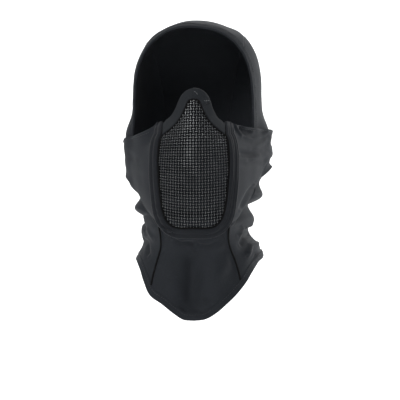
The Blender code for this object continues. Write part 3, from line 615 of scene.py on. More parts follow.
def strip_place(across, down):
    upper, lower = 13, sum(CLOTH_ROWS)
    share = 2 * across - 1
    side = np.where(share < 0, -1, 1)
    row = down * (upper + lower)

    def ray_point(degrees):
        x = share * strip_half(degrees)
        angle = np.radians(degrees)
        reach = root(
            lambda reach: form_at(x, -reach * np.cos(angle), WIDEST_LEVEL + reach * np.sin(angle)),
            0.001 + 0 * x, 0.140 + 0 * x,
        )
        return xyz(x, -reach * np.cos(angle), WIDEST_LEVEL + reach * np.sin(angle))

    def ahead(degrees):
        points = ray_point(degrees)
        return points[:, 1] - rim_y(points[:, 0], points[:, 2]) - HEM_SEAM

    start = root(ahead, 20.0 + 0 * share, 120.0 + 0 * share)
    over = dressed(ray_point(start + (180 - start) * np.minimum(row, upper) / upper))

    def turn_at(z):
        right = form_point(strip_turn(1, z), z)[:, 0]
        left = form_point(-strip_turn(-1, z), z)[:, 0]
        edge = np.where(share < 0, -left, right)
        wide, _ = section(z, share >= 0, True)
        out = np.clip(np.abs(share) * edge / wide, 0, 1) ** (SQUARENESS / 2)
        return side * (180 - np.degrees(np.arcsin(out)))

    def level(turn):
        return level_line(turn, np.maximum(row - upper, 0))

    turn, z = settled(level, turn_at, WIDEST_LEVEL + 0 * row)
    return np.where((row <= upper)[:, None], over, cloth(turn, z))


def sewn(sides, foot):
    """1 on a panel, fading to 0 at its sewn sides and foot, given as shares of the cut piece."""
    left, right = sides
    return lambda across, down: (
        smooth(across / left) * smooth((1 - across) / right) * smooth((1 - down) / foot)
    )


def front_view(points):
    return points[:, [0, 2]]


strip = laid("crown_strip_cloth", 60, 180, strip_place, (0.100, 0.440))
creased(strip, (), front_view, rumple=0.0006, grain=45.0, hold=sewn((0.08, 0.08), 0.04))
applied(strip, "SOLIDIFY", thickness=CLOTH_SHOWN, offset=-1)
strip.data.materials.append(hood_jersey)
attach(strip, "root")
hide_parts("crown_strip")

# Side panels: the same jersey from the strip's seam over the ear and down the side of the neck. The
# slack of the long neck gathers in soft ruffles, with drawn folds where the roll's corners pull.
BIB_WIDTH = 0.0780
GUARD_TOP = 0.0933
GUARD_HEIGHT = 0.1377
GUARD_WIDTH = 0.0754
NOSE_REACH = 0.1270
NOSE_RIDGE_RADIUS = 0.0030
GUARD_SAG = 0.0240
GUARD_TURN = -0.080
ROLL_WIDTH = 0.0094
ROLL_CHIN_WIDTH = 0.0118
ROLL_RISE = 0.0157
SEAM_GAP = 0.0004
DRAW_FALL = 0.45
DRAW_RISE = 0.0300
DRAW_SPREAD = 0.40
BIB_CORNER = -(GUARD_TOP + GUARD_HEIGHT * 0.990)
CHIN_CORNER = -(GUARD_TOP + GUARD_HEIGHT * 0.935)
GUARD_MIDDLE = (0.0, 0.0, -GUARD_TOP - GUARD_HEIGHT * 0.6)
# Front edge of each side panel under the cheek: share of the way down, turn.
HIDDEN_EDGE = ((0.22, 58.0), (0.42, 42.0), (0.62, 32.0), (0.80, 27.5), (0.92, 29.0))
# Bib seams: down from the bib's corner, then each side's share of the bib's width.
BIB_SEAMS = (
    (0.00, 0.506, 0.500),
    (0.13, 0.481, 0.487),
    (0.23, 0.476, 0.506),
    (0.38, 0.520, 0.570),
    (0.55, 0.577, 0.628),
    (0.76, 0.622, 0.656),
    (1.00, 0.640, 0.670),
)
# Outline of the mesh that shows: down its height, half width.
GUARD_OUTLINE = (
    (0.000, 0.000), (0.004, 0.090), (0.018, 0.155), (0.047, 0.212), (0.085, 0.266), (0.124, 0.337),
    (0.162, 0.420), (0.200, 0.532), (0.238, 0.690), (0.276, 0.860), (0.304, 0.935), (0.354, 0.975),
    (0.468, 1.000), (0.583, 0.990), (0.698, 0.960), (0.775, 0.930), (0.852, 0.885), (0.922, 0.805),
    (0.966, 0.690), (0.991, 0.540), (1.000, 0.330), (1.000, 0.000),
)
# Depth of the guard: down its height, ridge, fall of the sides, how the fall grows from the ridge.
GUARD_DEPTHS = (
    (-0.10, 0.735, 1.15, 1.20),
    (0.00, 0.772, 1.17, 1.20),
    (0.085, 0.835, 1.25, 1.20),
    (0.165, 0.890, 1.40, 1.25),
    (0.240, 0.941, 1.25, 1.30),
    (0.305, 0.980, 1.12, 1.40),
    (0.375, 1.000, 1.00, 1.50),
    (0.485, 0.984, 0.81, 1.80),
    (0.595, 0.965, 0.71, 2.00),
    (0.705, 0.953, 0.67, 2.10),
    (0.815, 0.937, 0.65, 2.10),
    (0.920, 0.906, 0.58, 2.10),
    (1.000, 0.870, 0.56, 2.10),
    (1.100, 0.820, 0.56, 2.10),
)


def guard_point(x, z):
    """Point on the middle surface of the guard."""
    down = (-z - GUARD_TOP) / GUARD_HEIGHT
    ridge = spline(GUARD_DEPTHS, down, 1) * NOSE_REACH
    sag = spline(GUARD_DEPTHS, down, 2) * GUARD_SAG
    power = spline(GUARD_DEPTHS, down, 3)
    rounded = np.hypot(x, NOSE_RIDGE_RADIUS) - NOSE_RIDGE_RADIUS
    return xyz(x, -ridge + sag * (2 * rounded / GUARD_WIDTH) ** power + GUARD_TURN * x, z)


def guard_normal(x, z):
    step = 0.0008
    across = guard_point(x + step, z) - guard_point(x - step, z)
    up = guard_point(x, z + step) - guard_point(x, z - step)
    return unit(np.cross(across, up))


def even(points, count):
    """Points spread evenly along the line through the given ones."""
    lengths = np.concatenate([[0.0], np.cumsum(np.linalg.norm(np.diff(points, axis=0), axis=1))])
    at = np.linspace(0, lengths[-1], count)
    return np.stack([np.interp(at, lengths, points[:, k]) for k in range(3)], axis=1)


def outline_half(side):
    rows = [(k, down, half) for k, (down, half) in enumerate(GUARD_OUTLINE)]
    k = np.arange(8 * (len(rows) - 1) + 1) / 8
    x = side * spline(rows, k, 2) * GUARD_WIDTH / 2
    return xyz(x, 0.0, -GUARD_TOP - spline(rows, k, 1) * GUARD_HEIGHT)


# Where the roll ends and the nose binding begins, and how far the roll's tips lean in over it.
SHOULDER = -(GUARD_TOP + 0.285 * GUARD_HEIGHT)
TIP_LEAN = 0.0016


def roll_path(count):
    """The roll's inner edge, from the top of the left one round the chin to the top of the right."""
    path = []
    for side in (-1, 1):
        edge = outline_half(side)
        edge = edge[edge[:, 2] <= SHOULDER]
        top = edge[0] + np.array((-side * TIP_LEAN, 0.0, ROLL_RISE))
        path.append(np.vstack([top, (top + edge[0]) / 2, edge]))
    return even(np.vstack([path[0], path[1][-2::-1]]), count)


def outward(path):
    """Directions in the front view, across the path and away from the middle of the mesh."""
    along = np.gradient(path, axis=0)
    across = unit(xyz(along[:, 2], 0.0, -along[:, 0]))
    away = np.sum(across * (path - np.array(GUARD_MIDDLE)), axis=1)
    return np.where((away > 0)[:, None], across, -across)


def across_surface(points, ways):
    step = 0.002
    start = guard_point(points[:, 0], points[:, 2])
    end = guard_point(points[:, 0] + ways[:, 0] * step, points[:, 2] + ways[:, 2] * step)
    return unit(end - start)


def roll_outer(path, gap):
    """Points just outside the roll's outer edge, on the guard's surface."""
    ways = outward(path)
    wide = ROLL_WIDTH + (ROLL_CHIN_WIDTH - ROLL_WIDTH) * smooth(-ways[:, 2])
    return guard_point(path[:, 0], path[:, 2]) + across_surface(path, ways) * (wide + gap)[:, None]


def bib_seam_turn(side, z, beyond):
    down = (BIB_CORNER - z) / (BIB_CORNER - BIB_TIP)
    x = side * (spline(BIB_SEAMS, down, 1 if side < 0 else 2) * BIB_WIDTH + beyond)
    return np.abs(turn_at_x(x, z))


def side_front_turn(side, z):
    """The turn where a side panel begins: at the rim's hem, under the cheek, or at the bib's seam."""
    start = (0.0, float(rim_turn(side, UNDER_RIM, HEM_SEAM)))
    end = (1.0, float(bib_seam_turn(side, np.array(BIB_CORNER), SEAM_GAP)))
    share = (UNDER_RIM - z) / (UNDER_RIM - BIB_CORNER)
    hidden = spline((start, *HIDDEN_EDGE, end), share, 1)
    turn = np.where(z <= BIB_CORNER, bib_seam_turn(side, z, SEAM_GAP), hidden)
    return np.where(z >= UNDER_RIM, rim_turn(side, z, HEM_SEAM), turn)


ROLL_NODES = 177
ROLL_END = ROLL_NODES - 1
ROLL_LINE = roll_path(ROLL_NODES)
CHIN_SPLIT = int(sum(ROLL_LINE[:ROLL_NODES // 2, 2] > CHIN_CORNER))


def drawn(side):
    """The roll's lower corner, and how far the cloth under the seam there is drawn out to meet it."""
    corner = roll_outer(ROLL_LINE, 0.001)[CHIN_SPLIT if side < 0 else ROLL_END - CHIN_SPLIT]
    at = np.array(corner[2])
    return corner, corner - cloth(side * bib_seam_turn(side, at, 0.0), at)


def draw_share(corner, z):
    """How much of the pull at the roll's corner is left above and below it."""
    above, fall = z - corner[2], (corner[2] - BIB_TIP) * DRAW_FALL
    up = 0.55 * (1 - smooth(above / DRAW_RISE)) + 0.45 * (1 - smooth(above / 0.006))
    return np.where(above > 0, up, 1 - smooth(-above / fall))


# Folds as lines of turn and height, each with its width and depth.
LEFT_FOLDS = (
    (((60, -0.236), (75, -0.226), (100, -0.222)), 0.0030, -0.0022),
    (((46, -0.262), (62, -0.247), (84, -0.243)), 0.0032, -0.0022),
    (((44, -0.243), (58, -0.233), (72, -0.234)), 0.0026, 0.0012),
    (((50, -0.276), (66, -0.262), (80, -0.258)), 0.0034, 0.0014),
    (((100, -0.118), (112, -0.132), (120, -0.158)), 0.0040, -0.0014),
    (((96, -0.190), (118, -0.186), (140, -0.180)), 0.0032, -0.0018),
    (((104, -0.206), (126, -0.200), (146, -0.203)), 0.0032, 0.0016),
)
RIGHT_FOLDS = (
    (((46, -0.240), (58, -0.231), (84, -0.226)), 0.0026, 0.0026),
    (((44, -0.250), (60, -0.240), (88, -0.238)), 0.0026, -0.0024),
    (((46, -0.262), (60, -0.251), (86, -0.249)), 0.0028, 0.0028),
    (((50, -0.276), (64, -0.262), (90, -0.258)), 0.0030, -0.0026),
    (((54, -0.288), (68, -0.274), (92, -0.268)), 0.0032, 0.0022),
    (((96, -0.186), (118, -0.180), (142, -0.176)), 0.0030, -0.0020),
    (((100, -0.200), (124, -0.196), (148, -0.200)), 0.0030, 0.0018),
    (((100, -0.116), (112, -0.132), (118, -0.156)), 0.0040, -0.0014),
)


FOLD_STRENGTH = 1.35
METRES_A_DEGREE = 0.001


def side_cloth(name, side, folds):
    top, upper, lower = 4, 9, sum(CLOTH_ROWS)
    seam_x = CROWN_STRIP / 2

    def seam_turn(z):
        return np.abs(turn_at_x(side * seam_x + 0 * z, z))

    end, draw = drawn(side)
    foot, crown = np.array([WIDEST_LEVEL]), np.array([CLOTH])
    peak = root(lambda z: section(z, side > 0, False)[0] - seam_x - 0.0001, foot, crown)
    corner = float(root(lambda z: rim_turn(side, z, HEM_SEAM) - seam_turn(z), foot, peak)[0])
    peak = float(peak[0])

    def place(across, down):
        row = down * (upper + lower)
        z = corner + (peak - corner) * np.cos(np.pi / 2 * np.minimum(row, top) / top)
        fall = (WIDEST_LEVEL - corner) * np.minimum(row - top, upper - top) / (upper - top)
        z = np.where(row > top, corner + fall, z)
        front = np.where(row < top, seam_turn(z), rim_turn(side, z, HEM_SEAM))
        back = np.where(row > 0, strip_turn(side, z), 180 - front)
        wide = np.maximum(back, front + 0.2) - front
        over = cloth(side * (front + wide * across), z)

        def turn_at(z):
            front, back = side_front_turn(side, z), strip_turn(side, z)
            return side * (front + (back - front) * across)

        def level(turn):
            return level_line(turn, np.maximum(row - upper, 0))

        turn, z = settled(level, turn_at, WIDEST_LEVEL + 0 * row)
        share = draw_share(end, z) * (1 - smooth(across / DRAW_SPREAD))
        under = cloth(turn, z) + draw * share[:, None]
        return np.where((row <= upper)[:, None], over, under)

    piece = laid(name, 96, 210, place, (0.170, 0.280))
    lines = [
        ([(a * METRES_A_DEGREE, b) for a, b in line], width, FOLD_STRENGTH * depth)
        for line, width, depth in folds
    ]

    def side_view(points):
        return np.stack([np.abs(turn_of(points)) * METRES_A_DEGREE, points[:, 2]], axis=1)

    creased(piece, lines, side_view, rumple=0.0007, grain=42.0, hold=sewn((0.06, 0.05), 0.03))
    applied(piece, "SOLIDIFY", thickness=CLOTH_SHOWN, offset=-1)
    piece.data.materials.append(hood_jersey)
    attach(piece, "root")
    return piece


left_side = side_cloth("left_side_cloth", -1, LEFT_FOLDS)
right_side = side_cloth("right_side_cloth", 1, RIGHT_FOLDS)
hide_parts("left_side_panel")
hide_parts("right_side_panel")

# Face opening hem: the jersey turned in twice round the rim, a soft flat band with a rounded fold,
# sewn down with two rows of black thread and tucked under the cheeks at both ends.
def rim_place(across, down, lift=HEM_PROUD):
    behind = down * HEM_WIDTH
    ends = []
    for side in (-1, 1):
        level = -RIM_BOTTOM + 0 * behind
        foot = form_point(side * rim_turn(side, level, behind), level)
        ends.append(np.arctan2(foot[:, 0], foot[:, 2] - WIDEST_LEVEL))
    angle = ends[0] + (ends[1] - ends[0]) * across

    def beyond(reach):
        x, z = reach * np.sin(angle), WIDEST_LEVEL + reach * np.cos(angle)
        return form_at(x, rim_y(x, z) + behind, z)

    reach = root(beyond, 0.002 + 0 * angle, 0.130 + 0 * angle)
    x, z = reach * np.sin(angle), WIDEST_LEVEL + reach * np.cos(angle)
    return dressed(xyz(x, rim_y(x, z) + behind, z), lift)


RIM_THICKNESS = 0.0026
rim = laid("rim_hem_cloth", 220, 10, rim_place, (0.400, 0.008))
creased(rim, (), front_view, rumple=0.0004, grain=110.0)
applied(rim, "SOLIDIFY", thickness=RIM_THICKNESS, offset=-1)
applied(rim, "BEVEL", width=0.0010, segments=3, limit_method="ANGLE", angle_limit=math.radians(50))
rim.data.materials.append(hood_jersey)
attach(rim, "root")
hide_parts("face_opening_hem")

thread_black = fibrous("thread_black", 1500.0, (0.014, 0.015, 0.017), (0.040, 0.042, 0.046), 0.5)


def stitched(name, seams, finish, long=0.0022, pitch=0.0029, thick=0.00042, lean=0.0):
    """Rows of thread stitches, each row given as its line and the cloth's outward directions there.
    One stitch is a small bead. It is copied along the rows and all copies are joined."""
    bpy.ops.object.select_all(action="DESELECT")
    bpy.ops.mesh.primitive_uv_sphere_add(segments=6, ring_count=5, radius=0.5)
    bead = bpy.context.object
    bead.data.materials.append(finish)
    bead.data.shade_smooth()
    bead.select_set(False)
    for line, outs in seams:
        run = np.linalg.norm(np.diff(line, axis=0), axis=1)
        lengths = np.concatenate([[0.0], np.cumsum(run)])
        spots = np.arange(pitch / 2, lengths[-1] - pitch / 2, pitch)
        at = np.stack([np.interp(spots, lengths, line[:, k]) for k in range(3)], axis=1)
        after = np.stack([np.interp(spots + 0.0005, lengths, line[:, k]) for k in range(3)], axis=1)
        out = unit(np.stack([np.interp(spots, lengths, outs[:, k]) for k in range(3)], axis=1))
        along = unit(after - at)
        side = unit(np.cross(out, along))
        tilt = lean * (-1.0) ** np.arange(len(spots))
        along = unit(along + side * tilt[:, None])
        side = unit(np.cross(out, along))
        spot = at + out * thick * 0.2
        for k in range(len(spots)):
            piece = bead.copy()
            piece.data = bead.data.copy()
            laid_at = np.eye(4)
            laid_at[:3] = np.stack([side[k] * thick, out[k] * thick, along[k] * long, spot[k]], axis=1)
            piece.data.transform(Matrix(laid_at.tolist()))
            bpy.context.scene.collection.objects.link(piece)
            piece.select_set(True)
    bpy.data.objects.remove(bead)
    bpy.context.view_layer.objects.active = piece
    bpy.ops.object.join()
    piece.name = piece.data.name = name
    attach(piece, "root")
    return piece


def on_band(place, down, count):
    """A line along a band of cloth and the outward directions there."""
    across = np.linspace(0.004, 0.996, count)
    line = place(across, down + 0 * across, HEM_PROUD)
    return line, unit(place(across, down + 0 * across, HEM_PROUD + 0.001) - line)


rim_rows = [on_band(rim_place, down, 300) for down in (0.56, 0.82)]
stitched("rim_stitches", rim_rows, thread_black)


def on_piece(piece, points):
    """Points brought onto a piece of cloth, with its outward directions."""
    found = [piece.closest_point_on_mesh(Vector(p)) for p in points]
    return np.array([f[1][:] for f in found]), np.array([f[2][:] for f in found])


SEAM_ROW = 0.0014


def strip_seam(beyond):
    """The strip's two seams as lines, moved sideways on the cloth."""
    rows = []
    for side in (0.0, 1.0):
        down = np.linspace(0.01, 0.985, 400)
        line = strip_place(side + 0 * down, down)
        out = unit(line - HOOD_CENTRE)
        along = unit(np.gradient(line, axis=0))
        rows.append((line + np.cross(out, along) * beyond, out))
    return rows


stitched("strip_seam_stitches", strip_seam(-SEAM_ROW) + strip_seam(SEAM_ROW), thread_black)

# Bottom hem: the same turned band of jersey round the bottom edge, lowest at the tip of the bib and
# straight across the nape, sewn down with one row of black thread.
def hem_place(across, down, lift=HEM_PROUD):
    turn = 360 * across - 180
    top = hem_top(turn, HEM_WIDTH)
    return cloth(turn, top + (hem_level(turn) - top) * down, lift)


HEM_THICKNESS = 0.0022
hem = laid("bottom_hem_cloth", 320, 8, hem_place, (0.420, 0.008))
creased(hem, (), front_view, rumple=0.0005, grain=90.0)
applied(hem, "SOLIDIFY", thickness=HEM_THICKNESS, offset=-1)
applied(hem, "BEVEL", width=0.0008, segments=3, limit_method="ANGLE", angle_limit=math.radians(50))
hem.data.materials.append(hood_jersey)
stitched("bottom_hem_stitches", [on_band(hem_place, 0.30, 420)], thread_black)
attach(hem, "root")
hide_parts("bottom_hem")

# Front bib: one panel of the jersey from under the guard down to the point on the chest. It is
# gathered a little under the roll and creased down the middle, where it was folded for the pack.
bib_top = roll_outer(ROLL_LINE, -SEAM_LAP)[CHIN_SPLIT:ROLL_NODES - CHIN_SPLIT]


def on_line(points, share):
    at = np.clip(share, 0, 1) * (len(points) - 1)
    k = np.minimum(at.astype(int), len(points) - 2)
    return points[k] + (points[k + 1] - points[k]) * (at - k)[:, None]


def bib_place(across, down):
    start = on_line(bib_top, across)
    share = 2 * across - 1

    def turn_at(z):
        return share * np.where(share < 0, bib_seam_turn(-1, z, 0.0), bib_seam_turn(1, z, 0.0))

    _, foot = settled(lambda at: hem_top(at, HEM_SEAM), turn_at, NECK_FOOT + 0 * share)
    z = start[:, 2] + (foot - start[:, 2]) * down
    shift = start - cloth(turn_at(start[:, 2]), start[:, 2])
    fall = 1 - smooth((start[:, 2] - z) / ((start[:, 2] - BIB_TIP) * DRAW_FALL))
    return cloth(turn_at(z), z) + shift * fall[:, None]


# Creases in the front view, each with its width and depth: the first is the fold down the middle.
BIB_CREASES = (
    (((-0.003, -0.254), (-0.002, -0.285), (-0.004, -0.322)), 0.0095, -0.0085),
    (((-0.024, -0.243), (-0.014, -0.248), (0.002, -0.249)), 0.0026, -0.0026),
    (((0.002, -0.251), (0.016, -0.250), (0.028, -0.244)), 0.0024, -0.0020),
    (((-0.006, -0.250), (-0.004, -0.262)), 0.0030, -0.0012),
    (((-0.034, -0.256), (-0.024, -0.284), (-0.018, -0.306)), 0.0080, 0.0024),
    (((0.030, -0.256), (0.022, -0.284), (0.014, -0.306)), 0.0115, 0.0080),
)
bib = laid("front_bib_cloth", 110, 110, bib_place, (0.074, 0.092))
creased(bib, BIB_CREASES, front_view, rumple=0.0006, grain=48.0, hold=sewn((0.14, 0.14), 0.06))
applied(bib, "SOLIDIFY", thickness=CLOTH_SHOWN, offset=-1)
bib.data.materials.append(hood_jersey)
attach(bib, "root")
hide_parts("front_bib")

# Bib piping: a dark round cord, covered with thin jersey, sewn all along each seam between the bib
# and a side panel, from under the roll down to the bottom hem.
PIPING = 0.0021
PIPING_NODES = 140
PIPING_TUCK = 0.0045
piping_black = jersey(
    "piping_black", (0.0040, 0.0042, 0.0046), (0.0070, 0.0074, 0.0080), 0.0005, knit=0.2, sheen=0.0
)


def tube(name, lines, thick, sides=1):
    """Round cords through lines of points, made a mesh."""
    made = bpy.data.curves.new(name, "CURVE")
    made.dimensions = "3D"
    made.bevel_depth = thick / 2
    made.bevel_resolution = sides
    made.use_fill_caps = True
    for line in lines:
        run = made.splines.new("POLY")
        run.points.add(len(line) - 1)
        run.points.foreach_set("co", np.hstack([line, np.ones((len(line), 1))]).ravel())
    piece = bpy.data.objects.new(name, made)
    bpy.context.scene.collection.objects.link(piece)
    only(piece)
    bpy.ops.object.convert(target="MESH")
    piece = bpy.context.object
    closed(piece, 1e-6)
    piece.data.shade_smooth()
    return piece


for side, name in ((-1, "left"), (1, "right")):
    end, draw = drawn(side)
    foot = np.full(PIPING_NODES, NECK_FOOT)
    for _ in range(7):
        foot = hem_top(side * bib_seam_turn(side, foot, 0.0), HEM_SEAM)
    start = BIB_CORNER + PIPING_TUCK
    z = start + (foot - start) * np.linspace(0, 1, PIPING_NODES)
    line = cloth(side * bib_seam_turn(side, z, 0.0), z, 0.0002) + draw * draw_share(end, z)[:, None]
    piping = tube(name + "_piping_cord", [line], PIPING, 2)
    piping.data.materials.append(piping_black)
    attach(piping, "root")
    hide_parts(name + "_bib_piping")

# Cheek panels: jersey sewn into the roll beside the mesh and stretched back over the ears, outside the
# side panels. Each has a narrow rolled hem along its lower edge and small tucks where the ear pulls.
CHEEK_BULGE = 0.0040
CHEEK_LIFT = CLOTH + HEM_PROUD + 0.0010
CHEEK_REACH = 116.0
CHEEK_SOFT = 0.0045
CHEEK_THICKNESS = 0.0012
CHEEK_EDGE = 0.055
EAR_SHARE = 0.72
FRONT_TUCK = 0.0048
LEFT_FOOT_NODES = 9
RIGHT_FOOT_NODES = 14
PLEAT_DEPTH = 0.0035
HEM_HUG = 0.0095
HEM_SINK = 0.0020
# Tucks over the ear: side, share of the way down, share of the depth, half height.
PLEATS = ((-1, 0.30, 0.35, 0.16), (1, 0.24, 0.70, 0.12), (1, 0.78, 1.00, 0.09))
# Creases in the front view, each with its width and depth.
LEFT_CREASES = (
    (((-0.076, -0.150), (-0.070, -0.154), (-0.064, -0.158)), 0.0040, -0.0012),
    (((-0.074, -0.176), (-0.064, -0.172), (-0.054, -0.180)), 0.0045, -0.0006),
)
RIGHT_CREASES = (
    (((0.043, -0.117), (0.047, -0.126), (0.052, -0.133)), 0.0016, 0.0020),
    (((0.047, -0.120), (0.053, -0.127), (0.064, -0.127)), 0.0026, -0.0030),
    (((0.052, -0.134), (0.062, -0.136), (0.074, -0.130), (0.082, -0.122)), 0.0026, 0.0018),
    (((0.062, -0.146), (0.072, -0.140), (0.081, -0.132)), 0.0030, 0.0016),
    (((0.046, -0.150), (0.058, -0.152), (0.070, -0.151)), 0.0032, -0.0024),
    (((0.058, -0.158), (0.070, -0.154), (0.082, -0.148)), 0.0030, 0.0016),
    (((0.048, -0.166), (0.060, -0.162), (0.074, -0.160)), 0.0040, -0.0010),
    (((0.066, -0.184), (0.059, -0.1925), (0.0535, -0.2035), (0.050, -0.213)), 0.0028, -0.0032),
)


def over_ear(across):
    return smooth((across - 0.45) / 0.3)


def cheek_cloth(name, side, top_drop, foot_drop, sag, foot, creases, bulges):
    """One cheek: heights of its rear corners, and how its upper and lower edges sag on the way."""
    nodes = np.arange(ROLL_NODES)
    tucked = smooth((np.minimum(nodes, ROLL_END - nodes) - CHIN_SPLIT) / 8)
    front = roll_outer(ROLL_LINE, -SEAM_LAP - FRONT_TUCK * tucked)
    if side < 0:
        front = front[:CHIN_SPLIT + LEFT_FOOT_NODES]
    else:
        front = front[::-1][:CHIN_SPLIT + RIGHT_FOOT_NODES]

    def place(across, down):
        run = np.minimum(across / EAR_SHARE, 1.0)
        start = on_line(front, down)
        z = -(top_drop + (foot_drop - top_drop) * down)
        ear = cloth(side * 90.0 + 0 * z, z, CHEEK_LIFT)
        bow = 4 * run * (1 - run)
        point = start + (ear - start) * run[:, None]
        out = unit(xyz(ear[:, 1] - start[:, 1], start[:, 0] - ear[:, 0], 0.0)) * side
        point += out * (CHEEK_BULGE * bow)[:, None]
        late, early = 6.75 * run**2 * (1 - run), 6.75 * run * (1 - run) ** 2
        point[:, 2] += (foot[0] * late + foot[1] * early) * smooth(down)
        point[:, 2] -= 4 * (1 - run) ** 1.6 * run**0.6 * sag * smooth(1 - down)
        behind_ear = np.clip((across - EAR_SHARE) / (1 - EAR_SHARE), 0, 1)
        turn = 90 + (CHEEK_REACH - 90) * behind_ear
        point = np.where((across <= EAR_SHARE)[:, None], point, cloth(side * turn, z, CHEEK_LIFT))
        flat = xyz(point[:, 0], point[:, 1], 0.0)
        rest = cloth(turn_of(point), point[:, 2], CHEEK_LIFT)
        need = np.hypot(rest[:, 0], rest[:, 1])
        reach = np.linalg.norm(flat, axis=1)
        near = np.maximum(CHEEK_SOFT - np.abs(reach - need), 0)
        higher = np.maximum(reach, need) + np.where(across <= EAR_SHARE, near**2 / (4 * CHEEK_SOFT), 0)
        tuck = 0.0
        for where, at, share, half in PLEATS:
            if where == side:
                tuck = tuck + bell(down, at, half) * over_ear(across) * share * PLEAT_DEPTH
        higher = np.maximum(need, higher - tuck)
        hug = smooth((down - 0.88) / 0.11) * smooth(across / 0.06)
        higher -= np.clip(higher - need + HEM_SINK, 0, HEM_HUG) * hug
        return unit(flat) * higher[:, None] + xyz(0.0, 0.0, point[:, 2])

    def ridge(across, down):
        edge = (1 - down) * CHEEK_EDGE
        rolled = 0.0011 * bell(edge, 0.0020, 0.0016) - 0.0007 * bell(edge, 0.0052, 0.0014)
        rolled += 0.0005 * bell(down * CHEEK_EDGE, 0.0012, 0.0012)
        for at, half, rise in bulges:
            rolled = rolled + over_ear(across) * rise * bell(down, at, half)
        return rolled

    piece = laid(name, 110, 130, place, (0.090, 0.075))
    creased(piece, creases, front_view, rumple=0.0004, grain=50.0, ridge=ridge)
    run, still = np.linspace(0.0, 1.0, 220), np.zeros(220)
    rows = (
        (0.10 + 0.88 * run, 0.935 + still),
        (0.985 + still, 0.04 + 0.90 * run),
        (0.10 + 0.88 * run, 0.03 + still),
    )
    seams = [on_piece(piece, place(across, down)) for across, down in rows]
    stitched(name + "_stitches", seams, thread_black)
    applied(piece, "SOLIDIFY", thickness=CHEEK_THICKNESS, offset=-1)
    piece.data.materials.append(hood_jersey)
    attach(piece, "root")
    return piece


# Swellings over the ears: share of the way down, half height, rise.
LEFT_BULGES = ((0.05, 0.12, -0.0014), (0.86, 0.11, 0.0032))
RIGHT_BULGES = ((0.28, 0.14, -0.0018), (0.62, 0.07, 0.0008), (0.90, 0.055, 0.0048))
left_cheek = cheek_cloth(
    "left_cheek_cloth", -1, 0.1345, 0.1810, 0.0055, (0.0045, -0.0030), LEFT_CREASES, LEFT_BULGES
)
right_cheek = cheek_cloth(
    "right_cheek_cloth", 1, 0.1230, 0.1675, 0.0035, (0.0070, -0.0080), RIGHT_CREASES, RIGHT_BULGES
)
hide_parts("left_cheek_panel")
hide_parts("right_cheek_panel")

# Mesh guard: square woven steel wire, pressed over a former to the shape of nose and mouth and
# powder-coated black, the coat thin. The tops of the knuckles are coloured near white, partly wear of
# the coat and partly painted highlight, brightest a little left of the middle.
WIRE = 0.00086
PITCH = 0.00318
LEVEL_PITCH = 0.96 * PITCH
FIRST_LEVEL = 0.004 - GUARD_TOP
HIDDEN_EDGE_WIDTH = 0.004
FINE = 4
COLUMNS = 19
ROWS = 26
KNUCKLE = 0.52
GLINT_AND_WEAR_FROM = 0.0005
GLINT_AND_WEAR_FADE = 0.0003
LEFT_SAG = (-0.0035, 0.0085)
RIGHT_SAG = (0.0, 0.0045)


def woven_surface():
    """Points of the weave by row and column: columns keep their distance along each level, and the
    rows sag to both sides, more towards the chin."""
    levels = np.arange(-2 * FINE, (2 * ROWS - 2) * FINE + 1) / FINE
    across = np.arange(-COLUMNS * FINE, COLUMNS * FINE + 1) / FINE
    places = np.zeros((len(levels), len(across), 3))
    xs = np.linspace(-0.065, 0.065, 521)
    for i, level in enumerate(levels):
        z = FIRST_LEVEL - level * LEVEL_PITCH
        line = guard_point(xs, z + 0 * xs)
        arc = np.concatenate([[0.0], np.cumsum(np.linalg.norm(np.diff(line, axis=0), axis=1))])
        arc -= np.interp(0.0, xs, arc)
        x = np.interp(across * PITCH, arc, xs)
        low = smooth(1.1 * np.clip((-z - GUARD_TOP) / GUARD_HEIGHT, 0, 1))
        sag = np.where(x < 0, LEFT_SAG[0] + LEFT_SAG[1] * low, RIGHT_SAG[0] + RIGHT_SAG[1] * low)
        places[i] = guard_point(x, z + sag * (2 * x / GUARD_WIDTH) ** 2)
    return levels, across, places


levels, across, places = woven_surface()
normals = guard_normal(places[..., 0], places[..., 2])
outline = even(np.vstack([outline_half(-1)[::-1], outline_half(1)[1:-1]]), 120)
outline = outline + across_surface(outline, outward(outline)) * HIDDEN_EDGE_WIDTH


def inside_outline(points):
    """Which points lie inside the outline, in the front view."""
    x, z = points[:, 0], points[:, 2]
    crossings = np.zeros(len(points), int)
    for a, b in zip(outline, np.roll(outline, -1, axis=0)):
        spans = (a[2] > z) != (b[2] > z)
        at = a[0] + (z - a[2]) / (b[2] - a[2] + 1e-12) * (b[0] - a[0])
        crossings += spans & (x < at)
    return crossings % 2 == 1


def woven_wires(lines):
    """The stretches of each wire that lie inside the outline."""
    runs = []
    for line in lines:
        keep = inside_outline(line)
        start = None
        for k, kept in enumerate(list(keep) + [False]):
            if kept and start is None:
                start = k
            elif not kept and start is not None:
                if k - start > 3:
                    runs.append(line[start:k])
                start = None
    return runs


wires = []
for j in range(0, len(across), FINE):
    over = np.cos(np.pi * levels) * (-1) ** (j // FINE) * WIRE * KNUCKLE
    wires.append(places[:, j] + normals[:, j] * over[:, None])
for i in range(0, len(levels), FINE):
    over = -np.cos(np.pi * across) * np.cos(np.pi * levels[i]) * (-1) ** COLUMNS * WIRE * KNUCKLE
    wires.append(places[i] + normals[i] * over[:, None])
guard = tube("woven_wire_guard", woven_wires(wires), WIRE, 1)
at = of_corners(guard)
surface = guard_point(at[:, 0], at[:, 2])
ahead = np.sum((at - surface) * guard_normal(at[:, 0], at[:, 2]), axis=1)
